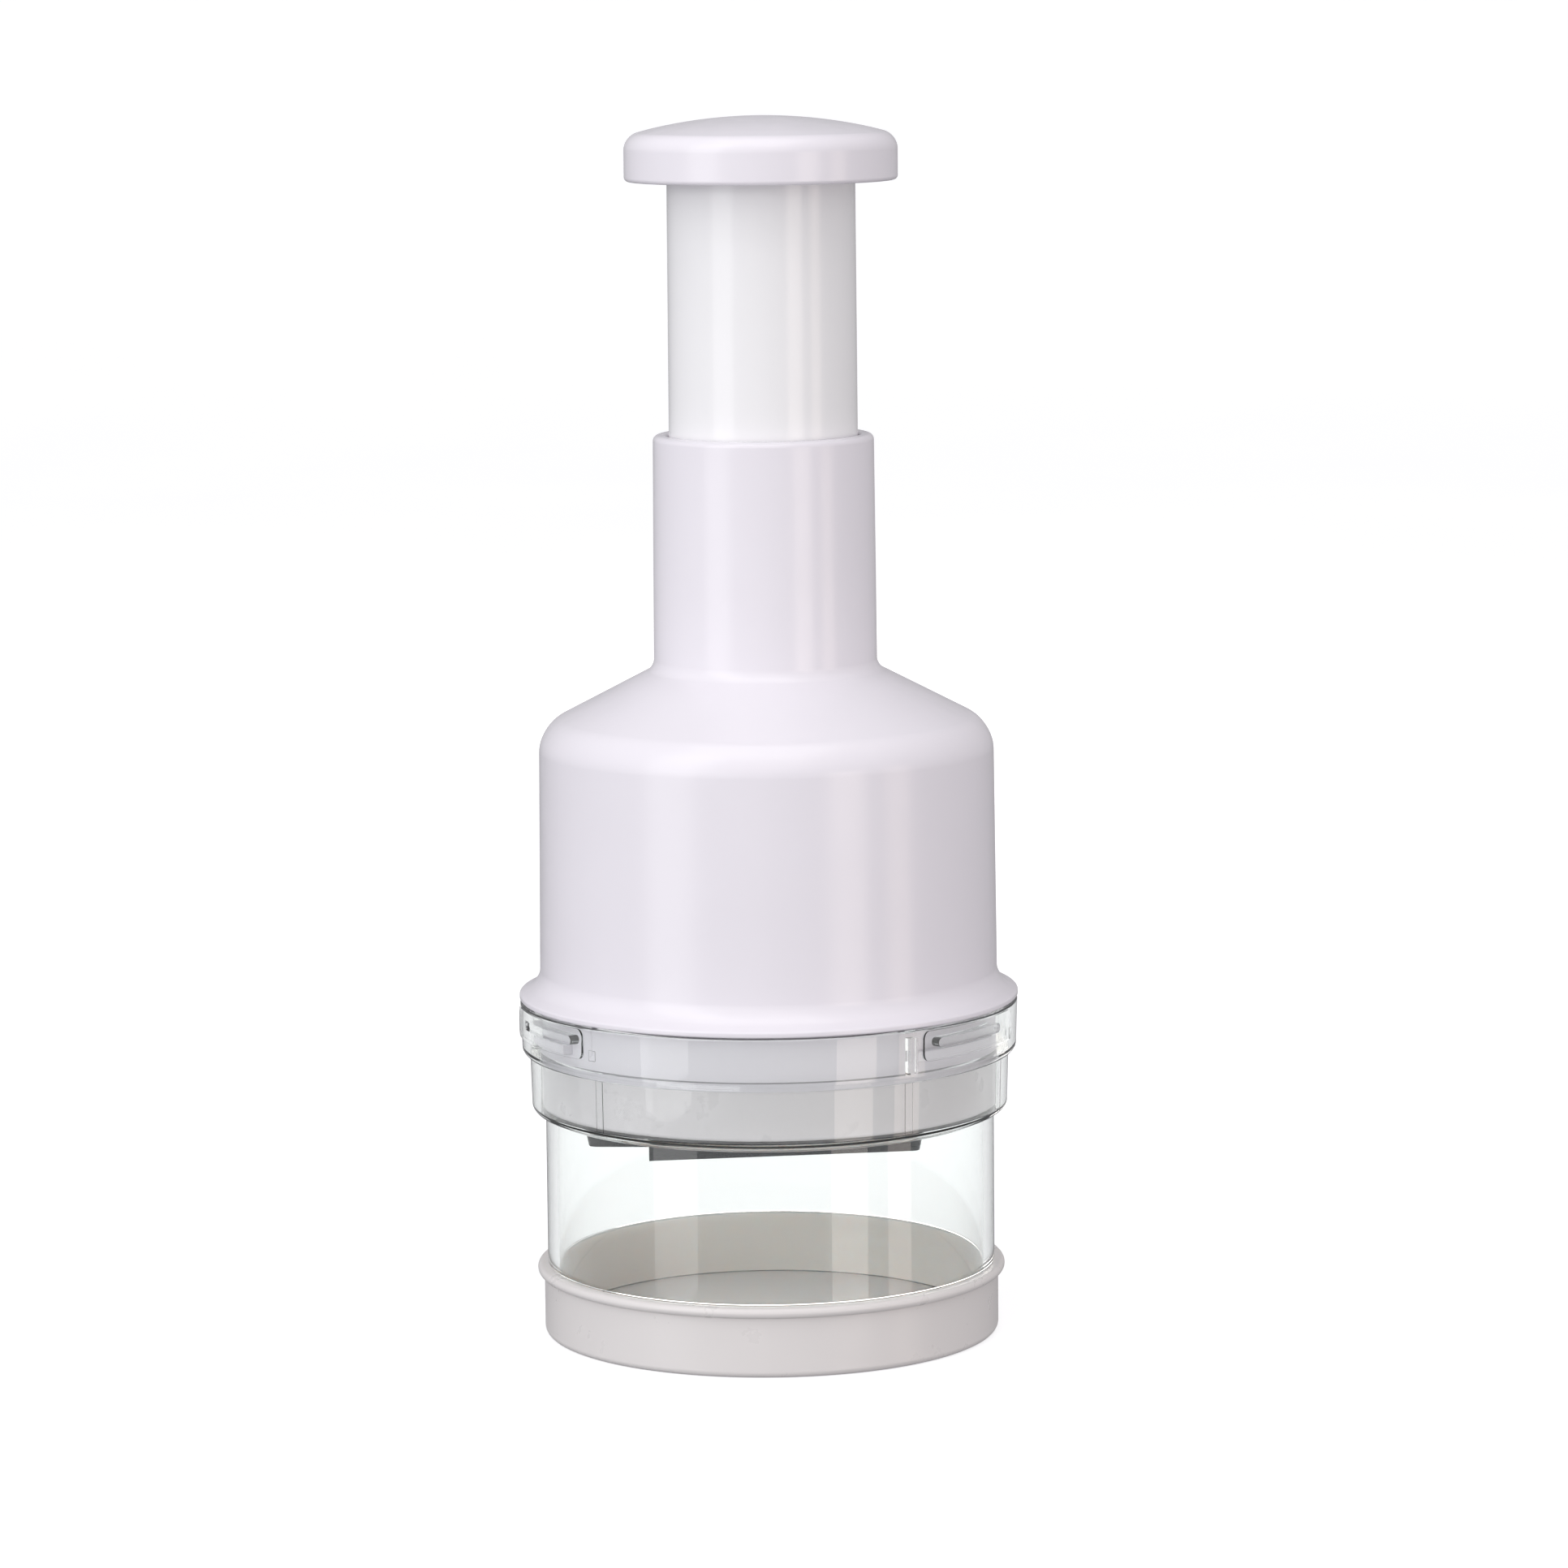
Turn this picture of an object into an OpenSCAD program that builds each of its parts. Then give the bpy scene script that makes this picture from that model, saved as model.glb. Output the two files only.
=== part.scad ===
// Plunger food chopper. Pressing the knob drives a folded steel blade down through a stripper
// plate into the clear cup. A return spring lifts it again, and two rings of saw teeth turn the
// blade a step between cuts. Millimetres, +Z up, origin under the middle of the base cap.

/* [Clear cup] */
// Outer radius of the cup between the base cap and the collar
cup_r = 40.7; // [38:0.1:50]
// Wall of the cup
cup_wall = 2; // [1.6:0.1:2.6]
// Height from the floor of the base cap to the ledge under the blade guard
cup_depth = 40.6; // [34:0.1:60]
// Step from the wall of the cup in to its spigot
spigot_step = 0.75; // [0.5:0.05:0.9]
// Width of the ledge that the blade guard stands over
ledge_w = 2.7; // [2.5:0.1:4]
// Wall of the two tiers of the collar
collar_wall = 1.7; // [1.4:0.1:2.4]
// How much each tier widens from its foot to its top
collar_draft = 0.3; // [0.1:0.05:0.5]
// Height of the lower tier from its foot to the foot of the upper tier
tier_low_h = 11.2; // [10.6:0.1:11.6]

/* [Base cap] */
// Wall of the base cap
base_wall = 1.3; // [1:0.1:2]
// Height of the base cap to the crest of its bead
base_h = 12.8; // [9:0.1:18]
// Thickness of the floor
base_floor = 1.2; // [1:0.1:2]
// Depth of the recess inside the foot ring
foot_h = 0.4; // [0.2:0.1:1]
// Width of the foot ring
foot_w = 3.4; // [2.6:0.1:8]
// How far the bead stands out from the wall
bead_out = 1.2; // [0.8:0.1:2]

/* [Bell housing] */
// Wall of the bell
bell_wall = 2; // [1.6:0.1:2.4]
// How far the bell's wall stands out from the skirt below the flange
bell_step = 0.25; // [0.1:0.05:0.6]
// How much the bell narrows from the flange to the shoulder
bell_draft = 0.45; // [0.2:0.05:1]
// Slope of the shoulder in degrees
shoulder_slope = 27.5; // [20:0.5:35]
// Radius of the round between the bell's wall and the shoulder
shoulder_r = 7; // [4:0.5:9]
// Length of the skirt below the flange
skirt_h = 9.4; // [9.3:0.1:10]
// Thickness of the flange at its edge
flange_t = 1; // [0.8:0.1:1.6]
// Height from the flange's foot to the corner of the cove above it
flange_cove_h = 3; // [2.4:0.1:4]
// Height from the guide plate to the corner of the shoulder
boss_room = 15.75; // [14:0.05:24]
// Height of the stretch of tube that the neck guides at rest
guide_len = 33.15; // [26:0.05:50]
// Wall of the neck
neck_wall = 2.1; // [1.6:0.1:2.8]

/* [Plunger and knob] */
// Outer radius of the plunger tube at its foot
tube_r = 17; // [16.6:0.1:18.2]
// Wall of the plunger tube
tube_wall = 1.8; // [1.4:0.1:2.2]
// How much the tube narrows towards the knob
tube_draft = 0.2; // [0.1:0.05:0.4]
// Tube left showing above the neck when the knob is fully pressed
tube_spare = 11; // [6:0.5:20]
// Radius of the press knob
knob_r = 24.4; // [23:0.1:30]
// Height of the press knob
knob_h = 11.5; // [10.5:0.1:18]
// Radius of the dome on the knob
dome_r = 88; // [70:1:160]
// Wall of the knob
knob_wall = 2.2; // [1.6:0.1:2.6]
// Radius of the drive rod
rod_r = 3; // [2.6:0.1:3.3]

/* [Blade] */
// Thickness of the blade strip
blade_t = 0.9; // [0.6:0.05:1.2]
// Height of the ground bevel at the cutting edge
bevel_h = 2.2; // [1:0.1:4]
// Radius of the folds to the middle of the strip
fold_r = 1.6; // [1.4:0.1:2]
// Gap between the blade's outer folds and the wall of the cup
blade_gap = 4.3; // [4:0.1:8]
// How far the blade shows below the blade guard at rest
blade_show = 6.35; // [3:0.05:9]
// Gap left under the cutting edge at the end of the stroke
edge_gap = 0.3; // [0.2:0.05:1]
// Thickness of the blade carrier
carrier_t = 3; // [2.6:0.1:4]
// Thickness of the stripper plate
stripper_t = 1.65; // [1.2:0.05:2.5]

/* [Blade guard] */
// Height of the guard's ring below the skirt
guard_h = 9.55; // [9.5:0.05:9.8]
// Thickness of the guard's bottom lip
guard_lip_t = 1.2; // [1:0.1:2]
// Height of the guard's spigot inside the skirt
guard_spigot_h = 6.4; // [4:0.1:8]

/* [Index gear and guide plate] */
// Number of saw teeth on each ring
tooth_count = 12; // [8:1:16]
// Height of the saw teeth
tooth_h = 2.2; // [1.6:0.1:2.6]
// Inner radius of the toothed rings
tooth_in_r = 7.8; // [7.4:0.1:8.4]
// Outer radius of the toothed rings
tooth_out_r = 12.4; // [11.6:0.1:12.6]
// Thickness of the guide plate
plate_t = 3; // [2.4:0.1:4]
// Thickness of the index crown's body
crown_t = 2.3; // [1.8:0.1:3]

/* [Return spring] */
// Radius of the spring's wire
wire_r = 0.75; // [0.5:0.05:0.85]
// Radius of the coils to the middle of the wire
coil_r = 11.5; // [11.2:0.1:12.2]
// Number of coils
coil_count = 12; // [8:1:16]

/* [Bayonet] */
// Number of bayonet stations round the collar
station_count = 3; // [2:1:4]
// Half of the arc of each clear ledge in degrees
bar_arc = 12.4; // [10:0.1:15]
// Arc of each lug on the skirt in degrees
lug_arc = 27; // [20:1:29]
// Radial height of the lugs
lug_out = 1.65; // [1.2:0.05:2.2]
// Thickness of a lug
lug_t = 1.9; // [1.5:0.1:2.3]

/* [Hidden] */
$fn = 96;
arc_steps = 6;

// Clearances, and the overrun of every cut
slide_gap = 0.3;
seat_gap = 0.25;
snug_gap = 0.1;
turn_gap = 0.06;
press_gap = 0.05;
overrun = 1;

// Base cap and cup, from the inside outwards
cup_in_r = cup_r - cup_wall;
spigot_r = cup_r - spigot_step;
base_in_r = spigot_r + snug_gap;
base_r = base_in_r + base_wall;
foot_in_r = base_r - foot_w;
foot_edge_r = 1.2;
bead_h = 2.3;
bead_edge_r = 1.1;
spigot_edge_r = 0.4;

// Collar of the cup, and what stands inside it
tier_low_in_r = cup_in_r + ledge_w;
tier_low_r = tier_low_in_r + collar_wall;
tier_foot_h = 1.7;
tier_foot_rise = 1.1;
tier_web = 1.5;
tier_edge_r = 1.2;
guard_r = tier_low_in_r - 2 * seat_gap;
guard_edge_r = 0.8;
skirt_r = tier_low_in_r - seat_gap;
skirt_in_r = skirt_r - bell_wall;
tier_high_in_r = skirt_r + lug_out + seat_gap;
tier_high_r = tier_high_in_r + collar_wall;
rim_edge_r = 0.4;

// Heights from the floor up to the flange
floor_z = foot_h + base_floor;
ledge_z = floor_z + cup_depth;
tier_low_z = ledge_z - tier_foot_h;
tier_high_z = tier_low_z + tier_low_h;
guard_z = ledge_z + seat_gap;
guard_top_z = guard_z + guard_h;
skirt_z = guard_top_z + snug_gap;
flange_z = skirt_z + skirt_h;
rim_z = flange_z - slide_gap;
tier_high_h = rim_z - tier_high_z;

// Bayonet: lugs on the skirt lock under clear ledges in the upper tier
station_turn = -35;
stop_arc = 19.5;
rib_w = 1.6;
rib_bite = 0.6;
centre_rib_out = 0.25;
detent_out = 0.15;
lug_drop = 6.3;
lug_z = flange_z - lug_drop;
lug_gap = 0.2;
bar_z = lug_z + lug_t + lug_gap;
bar_t = 1.7;
bar_end_r = bar_t / 2;
pad_out = 0.35;
pad_w = 28.3;
pad_h = 5.4;
pad_corner_r = 1.4;
stop_half = rib_w / 2 / tier_high_in_r * 180 / PI;
lug_start = stop_half - stop_arc + slide_gap / tier_high_in_r * 180 / PI;

// Blade guard and stripper plate
fold_land = 2.35;
blade_reach = cup_in_r - blade_gap;
guard_in_r = blade_reach + fold_land + blade_t / 2;
guard_spigot_r = skirt_in_r - press_gap;
groove_out = 0.6;
guard_lip_r = blade_reach + 3 * slide_gap + blade_t / 2;
stripper_r = guard_in_r + groove_out - seat_gap;
stripper_z = guard_z + guard_lip_t + snug_gap;
stripper_gap = 0.4;

// Blade, carrier and rotor, hung so that the edge stops just above the floor
edge_z = guard_z - blade_show;
stroke = edge_z - floor_z - edge_gap;
rivet_head_t = 0.9;
carrier_z = stripper_z + stripper_t + slide_gap + rivet_head_t + stroke;
carrier_r = guard_in_r - 2 * slide_gap;
carrier_rim_w = 2;
carrier_rim_h = 1.6;
groove_depth = 2;
rotor_z = carrier_z + carrier_t;
rotor_flange_t = 1.8;
rotor_ring_h = 1.6;
rivet_r = 1.2;
rivet_head_r = 2;
rivet_at_r = 15;
rivet_angle = 35;
rivet_edge_r = 0.5;
rotor_rim_w = 1;
rotor_flange_r = rivet_at_r + rivet_head_r + rotor_rim_w;
hub_r = 6.4;
hub_floor = 1.2;
pin_r = 1;
pin_trim = 0.2;
pin_z = rotor_z + rotor_flange_t + pin_r + 2 * press_gap;

// The zigzag: the angle of each end and fold, and its place as a share of the reach
fold_angle = [229.7, 326, 198.5, 18.5, 146, 49.7];
fold_shares = [0.953, 0.93, 1, 1, 0.93, 0.953];
fold_side = [0, 1, -1, 1, -1, 0];
fold_steps = 8;

// Index crown, guide plate and rod bush
tooth_gap = 0.15;
tooth_z = rotor_z + rotor_flange_t + rotor_ring_h + tooth_h;
crown_z = tooth_z + tooth_gap;
plate_z = crown_z + crown_t;
plate_top_z = plate_z + plate_t;
crown_r = tooth_out_r + seat_gap;
bush_in_r = rod_r + turn_gap;
bush_wall = 1.7;
bush_r = bush_in_r + bush_wall;
bush_flange_t = 1;
bush_flange_r = bush_r + 1.2 * bush_flange_t;
crown_spigot_r = bush_r + bush_wall;
screw_inset = 9.1;
screw_at_r = skirt_in_r - screw_inset;
screw_r = 1.5;
screw_head_r = 3;
screw_head_t = 1.8;
screw_len = 11;
screw_edge_r = 0.8;
screw_boss_r = 3.6;

// Bell housing
bell_r = skirt_r + bell_step;
bell_top_r = bell_r - bell_draft;
plate_r = bell_top_r - bell_wall - slide_gap;
flange_r = tier_high_r + collar_draft + snug_gap;
flange_edge_r = 0.4;
cove_r = 4;
corner_z = plate_top_z + boss_room;
guide_rib_out = 0.7;
guide_rib_t = 1.6;
guide_web_out = 8;
lip_in_r = tube_r + slide_gap;
lip_h = 2.5;
neck_in_r = lip_in_r + guide_rib_out;
neck_r = neck_in_r + neck_wall;
neck_draft = 0.3;
neck_fillet_r = 2.5;
neck_edge_r = 0.7;

// Plunger tube, knob and drive rod
stop_gap = 1.1;
plunger_z = plate_top_z + stroke + stop_gap;
neck_top_z = plunger_z + guide_len;
knob_z = neck_top_z + stroke + tube_spare;
top_z = knob_z + knob_h;
tube_in_r = tube_r - tube_wall;
tube_foot_r = neck_in_r - 0.5 * slide_gap;
tube_foot_h = 3.5;
socket_depth = 6;
socket_wall = 1.7;
socket_lift = 0.6;
web_drop = 2;
web_t = 2.5;
web_top_z = knob_z - web_drop;
web_z = web_top_z - web_t;
boss_h = 4;
boss_r = 6.5;
boss_z = web_z - boss_h;
knob_edge_r = 3.2;
knob_foot_r = 0.8;
knob_roof_r = 1.5;
dome_shares = [0, 0.2, 0.4, 0.6, 0.8];
washer_r = 7;
washer_t = 0.85;
washer_z = web_top_z + snug_gap;
rod_z = rotor_z + hub_floor;
rod_top_z = washer_z + washer_t;
rod_collar_r = 5;
rod_collar_h = 2.6;
rod_edge_r = 0.4;
top_screw_r = 1.5;
top_screw_len = 10;
top_screw_head_r = 5.6;
top_screw_head_t = 2;

// Return spring: a coil stands at each end with its neighbour close to it
coil_rings = 8;
coil_sides = 6;
coil_end_gap = 0.5;
spring_foot_z = plate_top_z + wire_r + press_gap;
spring_top_z = web_z - wire_r - press_gap;
spring_ring_r = coil_r * cos(180 / coil_rings) - wire_r - 2 * slide_gap;
spring_ring_wall = 1.2;
spring_ring_h = 2;

// A step of length 1 in the direction of v
function unit(v) = v / norm(v);

// Points of the round of radius r at corner q, between its neighbours p and s
function corner(p, q, s, r) = r == 0 ? [q] :
    let (u = unit(p - q), v = unit(s - q), half = acos(u * v) / 2,
        c = q + unit(u + v) * r / sin(half),
        a = q + u * r / tan(half) - c,
        b = q + v * r / tan(half) - c,
        start = atan2(a.y, a.x), turn = atan2(cross(a, b), a * b))
    [for (k = [0:arc_steps])
        let (t = start + turn * k / arc_steps) c + r * [cos(t), sin(t)]];

// Points of a closed outline whose corners are [radius, height, round]
function rounded(c) = [for (i = [0:len(c) - 1])
    let (p = c[(i + len(c) - 1) % len(c)], q = c[i], s = c[(i + 1) % len(c)])
    each corner([p.x, p.y], [q.x, q.y], [s.x, s.y], q.z)];

// A solid turned about the axis from such an outline
module turned(c) {
    rotate_extrude() polygon(rounded(c));
}

// A ring between two radii, from height z and h tall
module ring(in_r, out_r, z, h) {
    turned([[in_r, z, 0], [out_r, z, 0], [out_r, z + h, 0], [in_r, z + h, 0]]);
}

// A part of such a ring, from one angle over an arc
module ring_arc(in_r, out_r, z, h, from, arc) {
    rotate([0, 0, from]) rotate_extrude(angle = arc) translate([in_r, z]) square([out_r - in_r, h]);
}

// A rectangle with round corners about the origin
module round_rect(w, h, r) {
    square([w - 2 * r, h], center = true);
    square([w, h - 2 * r], center = true);
    for (x = [-1, 1], y = [-1, 1])
        translate([x * (w / 2 - r), y * (h / 2 - r)]) circle(r);
}

// Copies its child at each bayonet station
module at_stations() {
    for (k = [0:station_count - 1])
        rotate([0, 0, station_turn + 360 * k / station_count]) children();
}

// An upright rib on the inside of the collar, set off by an angle
module upright_rib(in_r, out_r, z, h, off) {
    rotate([0, 0, off]) translate([in_r, -rib_w / 2, z]) cube([out_r - in_r, rib_w, h]);
}

module base_cap() {
    color("gainsboro") turned([
        [0, foot_h, 0], [foot_in_r, foot_h, 0], [foot_in_r + foot_h, 0, 0],
        [base_r, 0, foot_edge_r], [base_r, base_h - bead_h, 0],
        [base_r + bead_out, base_h - bead_h, bead_edge_r],
        [base_r + bead_out, base_h, bead_edge_r], [base_in_r, base_h, spigot_edge_r],
        [base_in_r, floor_z, 0], [0, floor_z, 0]]);
}

module cup_shell() {
    turned([
        [cup_in_r, floor_z, 0], [spigot_r, floor_z, spigot_edge_r],
        [spigot_r, base_h + slide_gap, 0], [cup_r, base_h + slide_gap, 0],
        [cup_r, tier_low_z, 0], [tier_low_r, tier_low_z + tier_foot_rise, tier_edge_r],
        [tier_low_r + collar_draft, tier_high_z, 0],
        [tier_high_r, tier_high_z, tier_edge_r],
        [tier_high_r + collar_draft, rim_z, rim_edge_r], [tier_high_in_r, rim_z, 0],
        [tier_high_in_r, tier_high_z + tier_web, 0], [tier_low_in_r, tier_high_z + tier_web, 0],
        [tier_low_in_r, ledge_z, 0], [cup_in_r, ledge_z, rim_edge_r]]);
}

// Clear ledge with round ends that a lug turns under
module bayonet_bar() {
    end = bar_arc - bar_end_r / tier_high_in_r * 180 / PI;
    ring_arc(skirt_r + seat_gap, tier_high_in_r + rib_bite, bar_z, bar_t, -end, 2 * end);
    for (side = [-1, 1])
        rotate([0, 0, side * end]) translate([skirt_r + seat_gap, 0, bar_z + bar_end_r])
            rotate([0, 90, 0]) cylinder(r = bar_end_r, h = lug_out + rib_bite);
}

// Raised outline on the outside of the collar in front of each ledge
module bayonet_pad() {
    pad_r = tier_high_r + collar_draft + pad_out;
    intersection() {
        ring(tier_high_r - collar_wall / 2, pad_r, tier_high_z, tier_high_h);
        translate([0, 0, bar_z + bar_t / 2]) rotate([90, 0, 90])
            linear_extrude(pad_r + overrun) round_rect(pad_w, pad_h, pad_corner_r);
    }
}

module clear_cup() {
    color("azure", 0.35) {
        cup_shell();
        at_stations() {
            bayonet_bar();
            bayonet_pad();
            upright_rib(skirt_r + seat_gap, tier_high_in_r + rib_bite,
                tier_high_z + tier_web / 2, tier_high_h - tier_web - tier_web / 2, -stop_arc);
            upright_rib(tier_high_in_r - detent_out, tier_high_in_r + rib_bite,
                lug_z, lug_t, stop_arc);
            for (side = [-1, 1])
                upright_rib(tier_low_in_r - centre_rib_out, tier_low_in_r + rib_bite,
                    ledge_z - rib_bite, guard_top_z - ledge_z, side * stop_arc);
        }
    }
}

// Height of the underside of the shoulder at radius r
function roof_z(r) =
    corner_z + (bell_top_r - r) * tan(shoulder_slope) - bell_wall / cos(shoulder_slope);

module bell_shell() {
    neck_z = corner_z + (bell_top_r - neck_r) * tan(shoulder_slope);
    bell_in_r = bell_top_r - bell_wall;
    turned([
        [skirt_in_r, skirt_z, 0], [skirt_r, skirt_z, 0], [skirt_r, flange_z, 0],
        [flange_r, flange_z, flange_edge_r], [flange_r, flange_z + flange_t, flange_edge_r],
        [bell_r, flange_z + flange_cove_h, cove_r], [bell_top_r, corner_z, shoulder_r],
        [neck_r, neck_z, neck_fillet_r], [neck_r - neck_draft, neck_top_z, neck_edge_r],
        [lip_in_r, neck_top_z, neck_edge_r / 2], [lip_in_r, neck_top_z - lip_h, 0],
        [neck_in_r, neck_top_z - lip_h - guide_rib_out, 0], [neck_in_r, roof_z(neck_in_r), 0],
        [bell_in_r, roof_z(bell_in_r), shoulder_r - bell_wall]]);
}

// The space under the middle of the bell's wall, which trims what hangs from the roof
module under_roof() {
    r = bell_top_r - bell_wall / 2;
    skin = bell_wall / 2;
    turned([[0, plate_top_z, 0], [r, plate_top_z, 0], [r, roof_z(r) + skin, 0],
        [0, roof_z(0) + skin, 0]]);
}

// One of the four webs that guide the plunger's foot and keep it from turning
module guide_web() {
    foot_r = neck_in_r + guide_web_out;
    wall_r = neck_in_r + neck_wall / 2;
    skin = bell_wall / 2;
    rotate([90, 0, 0]) linear_extrude(guide_rib_t, center = true) polygon([
        [lip_in_r, plate_top_z + slide_gap], [foot_r, plate_top_z + slide_gap],
        [foot_r, roof_z(foot_r) + skin], [wall_r, roof_z(wall_r) + skin],
        [wall_r, neck_top_z - lip_h], [lip_in_r, neck_top_z - lip_h]]);
}

module at_screws() {
    for (k = [0:2]) rotate([0, 0, 90 + 120 * k]) translate([screw_at_r, 0, 0]) children();
}

module bell_housing() {
    color("ghostwhite") difference() {
        union() {
            bell_shell();
            for (k = [0:3]) rotate([0, 0, 45 + 90 * k]) guide_web();
            intersection() {
                under_roof();
                at_screws() cylinder(r = screw_boss_r, h = neck_top_z);
            }
            at_stations() ring_arc(skirt_r - bell_wall / 2, skirt_r + lug_out, lug_z, lug_t,
                lug_start, lug_arc);
        }
        at_screws() translate([0, 0, plate_top_z - overrun])
            cylinder(r = screw_r + press_gap, h = screw_len - plate_t + 2 * overrun);
    }
}

module guide_plate() {
    color("whitesmoke") difference() {
        turned([
            [crown_spigot_r + press_gap, plate_z, 0], [plate_r, plate_z, rod_edge_r],
            [plate_r, plate_top_z, rod_edge_r], [spring_ring_r, plate_top_z, 0],
            [spring_ring_r, plate_top_z + spring_ring_h, rod_edge_r],
            [spring_ring_r - spring_ring_wall, plate_top_z + spring_ring_h, rod_edge_r],
            [spring_ring_r - spring_ring_wall, plate_top_z, 0],
            [crown_spigot_r + press_gap, plate_top_z, 0]]);
        at_screws() translate([0, 0, plate_z - overrun])
            cylinder(r = screw_r + snug_gap, h = plate_t + 2 * overrun);
    }
}

// The crown's saw teeth, pointing down. grow swells them on every side, for cutting their mates
module saw_teeth(grow) {
    w = (tooth_in_r + tooth_out_r) * tan(180 / tooth_count);
    lean = atan(tooth_h / w);
    drop = grow / cos(lean);
    intersection() {
        ring(tooth_in_r - grow, tooth_out_r + grow, crown_z - tooth_h - 2 * grow - drop,
            tooth_h + 2 * grow + drop + crown_t / 2);
        for (k = [0:tooth_count - 1])
            rotate([0, 0, 360 * k / tooth_count]) rotate([90, 0, 90])
                linear_extrude(tooth_out_r + overrun) polygon([
                    [-w / 2, crown_z + crown_t], [-w / 2, crown_z - drop],
                    [w / 2 + grow, crown_z - tooth_h * (w + grow) / w - drop],
                    [w / 2 + grow, crown_z + crown_t]]);
    }
}

module index_crown() {
    color("ivory") {
        turned([
            [bush_r + press_gap, crown_z, 0], [crown_r, crown_z, 0], [crown_r, plate_z, 0],
            [crown_spigot_r, plate_z, 0], [crown_spigot_r, plate_top_z, 0],
            [bush_r + press_gap, plate_top_z, 0]]);
        saw_teeth(0);
    }
}

module rod_bush() {
    color("burlywood") turned([
        [bush_in_r, crown_z, 0], [bush_r, crown_z, 0], [bush_r, plate_top_z, 0],
        [bush_flange_r, plate_top_z, 0], [bush_flange_r, plate_top_z + bush_flange_t, 0],
        [bush_in_r, plate_top_z + bush_flange_t, 0]]);
}

module plate_screws() {
    color("silver") at_screws() turned([
        [0, plate_z - screw_head_t, 0], [screw_head_r, plate_z - screw_head_t, screw_edge_r],
        [screw_head_r, plate_z, 0], [screw_r, plate_z, 0],
        [screw_r, plate_z + screw_len, 0], [0, plate_z + screw_len, 0]]);
}

module blade_guard() {
    spigot_z = guard_top_z + guard_spigot_h;
    groove_z = stripper_z + stripper_t + snug_gap;
    color("ghostwhite") turned([
        [guard_lip_r, guard_z, 0], [guard_r, guard_z, guard_edge_r], [guard_r, guard_top_z, 0],
        [guard_spigot_r, guard_top_z, 0], [guard_spigot_r, spigot_z, rod_edge_r],
        [guard_in_r, spigot_z, rod_edge_r], [guard_in_r, groove_z, 0],
        [guard_in_r + groove_out, groove_z, 0], [guard_in_r + groove_out, guard_z + guard_lip_t, 0],
        [guard_lip_r, guard_z + guard_lip_t, 0]]);
}

// Middles of the blade's folds, and its two free ends
fold_at = [for (i = [0:len(fold_angle) - 1])
    let (r = blade_reach * fold_shares[i] - abs(fold_side[i]) * (fold_r + blade_t / 2))
    r * [cos(fold_angle[i]), sin(fold_angle[i])]];

// Heading of the straight run from fold i to the next
function run_heading(i) =
    let (d = fold_at[i + 1] - fold_at[i])
    atan2(d.y, d.x) - asin((fold_side[i + 1] - fold_side[i]) * fold_r / norm(d));

// Stations along the middle of the strip as [place, heading], its free ends run on by more
function stations(more) =
    let (last = len(fold_at) - 1, first_h = run_heading(0), last_h = run_heading(last - 1))
    concat(
        [[fold_at[0] - more * [cos(first_h), sin(first_h)], first_h]],
        [for (i = [1:last - 1])
            let (h = run_heading(i - 1), wrap = (fold_side[i] * (run_heading(i) - h) + 720) % 360)
            for (k = [0:fold_steps])
                let (t = h + fold_side[i] * wrap * k / fold_steps)
                [fold_at[i] - fold_side[i] * fold_r * [-sin(t), cos(t)], t]],
        [[fold_at[last] + more * [cos(last_h), sin(last_h)], last_h]]);

// Point beside a station, off to its left
function beside(s, off) = s[0] + off * [-sin(s[1]), cos(s[1])];

// The slot for the strip from z0 to z1, wider than the strip by gap all round
module strip_slot(z0, z1, gap) {
    path = stations(gap);
    half = blade_t / 2 + gap;
    last = len(path) - 1;
    translate([0, 0, z0]) linear_extrude(z1 - z0) polygon(concat(
        [for (s = path) beside(s, half)],
        [for (i = [0:last]) beside(path[last - i], -half)]));
}

module stripper_plate() {
    color("whitesmoke") difference() {
        turned([[0, stripper_z, 0], [stripper_r, stripper_z, rod_edge_r],
            [stripper_r, stripper_z + stripper_t, rod_edge_r], [0, stripper_z + stripper_t, 0]]);
        strip_slot(stripper_z - overrun, stripper_z + stripper_t + overrun, stripper_gap);
    }
}

// The strip swept along its stations, with a knife edge along its foot
module zigzag_blade() {
    path = stations(0);
    last = len(path) - 1;
    half = blade_t / 2;
    top = carrier_z + groove_depth - press_gap;
    section = [[half, top], [half, edge_z + bevel_h], [0, edge_z], [-half, edge_z + bevel_h],
        [-half, top]];
    n = len(section);
    points = [for (s = path) for (q = section)
        let (p = beside(s, q.x)) [p.x, p.y, q.y]];
    sides = [for (i = [0:last - 1], k = [0:n - 1])
        let (a = i * n + k, b = i * n + (k + 1) % n)
        each [[a, b, b + n], [a, b + n, a + n]]];
    start_end = [for (k = [1:n - 2]) [0, k + 1, k]];
    far_end = [for (k = [1:n - 2]) [last * n, last * n + k, last * n + k + 1]];
    color("slategray") polyhedron(points, concat(sides, start_end, far_end));
}

module at_rivets() {
    for (a = [rivet_angle, 180 - rivet_angle, 180 + rivet_angle, -rivet_angle])
        rotate([0, 0, a]) translate([rivet_at_r, 0, 0]) children();
}

module blade_carrier() {
    rim_z0 = rotor_z + carrier_rim_h;
    color("whitesmoke") difference() {
        turned([
            [0, carrier_z, 0], [carrier_r, carrier_z, rod_edge_r], [carrier_r, rim_z0, rod_edge_r],
            [carrier_r - carrier_rim_w, rim_z0, rod_edge_r], [carrier_r - carrier_rim_w, rotor_z, 0],
            [0, rotor_z, 0]]);
        strip_slot(carrier_z - overrun, carrier_z + groove_depth, press_gap);
        at_rivets() translate([0, 0, carrier_z - overrun])
            cylinder(r = rivet_r + press_gap, h = carrier_t + 2 * overrun);
    }
}

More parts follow.
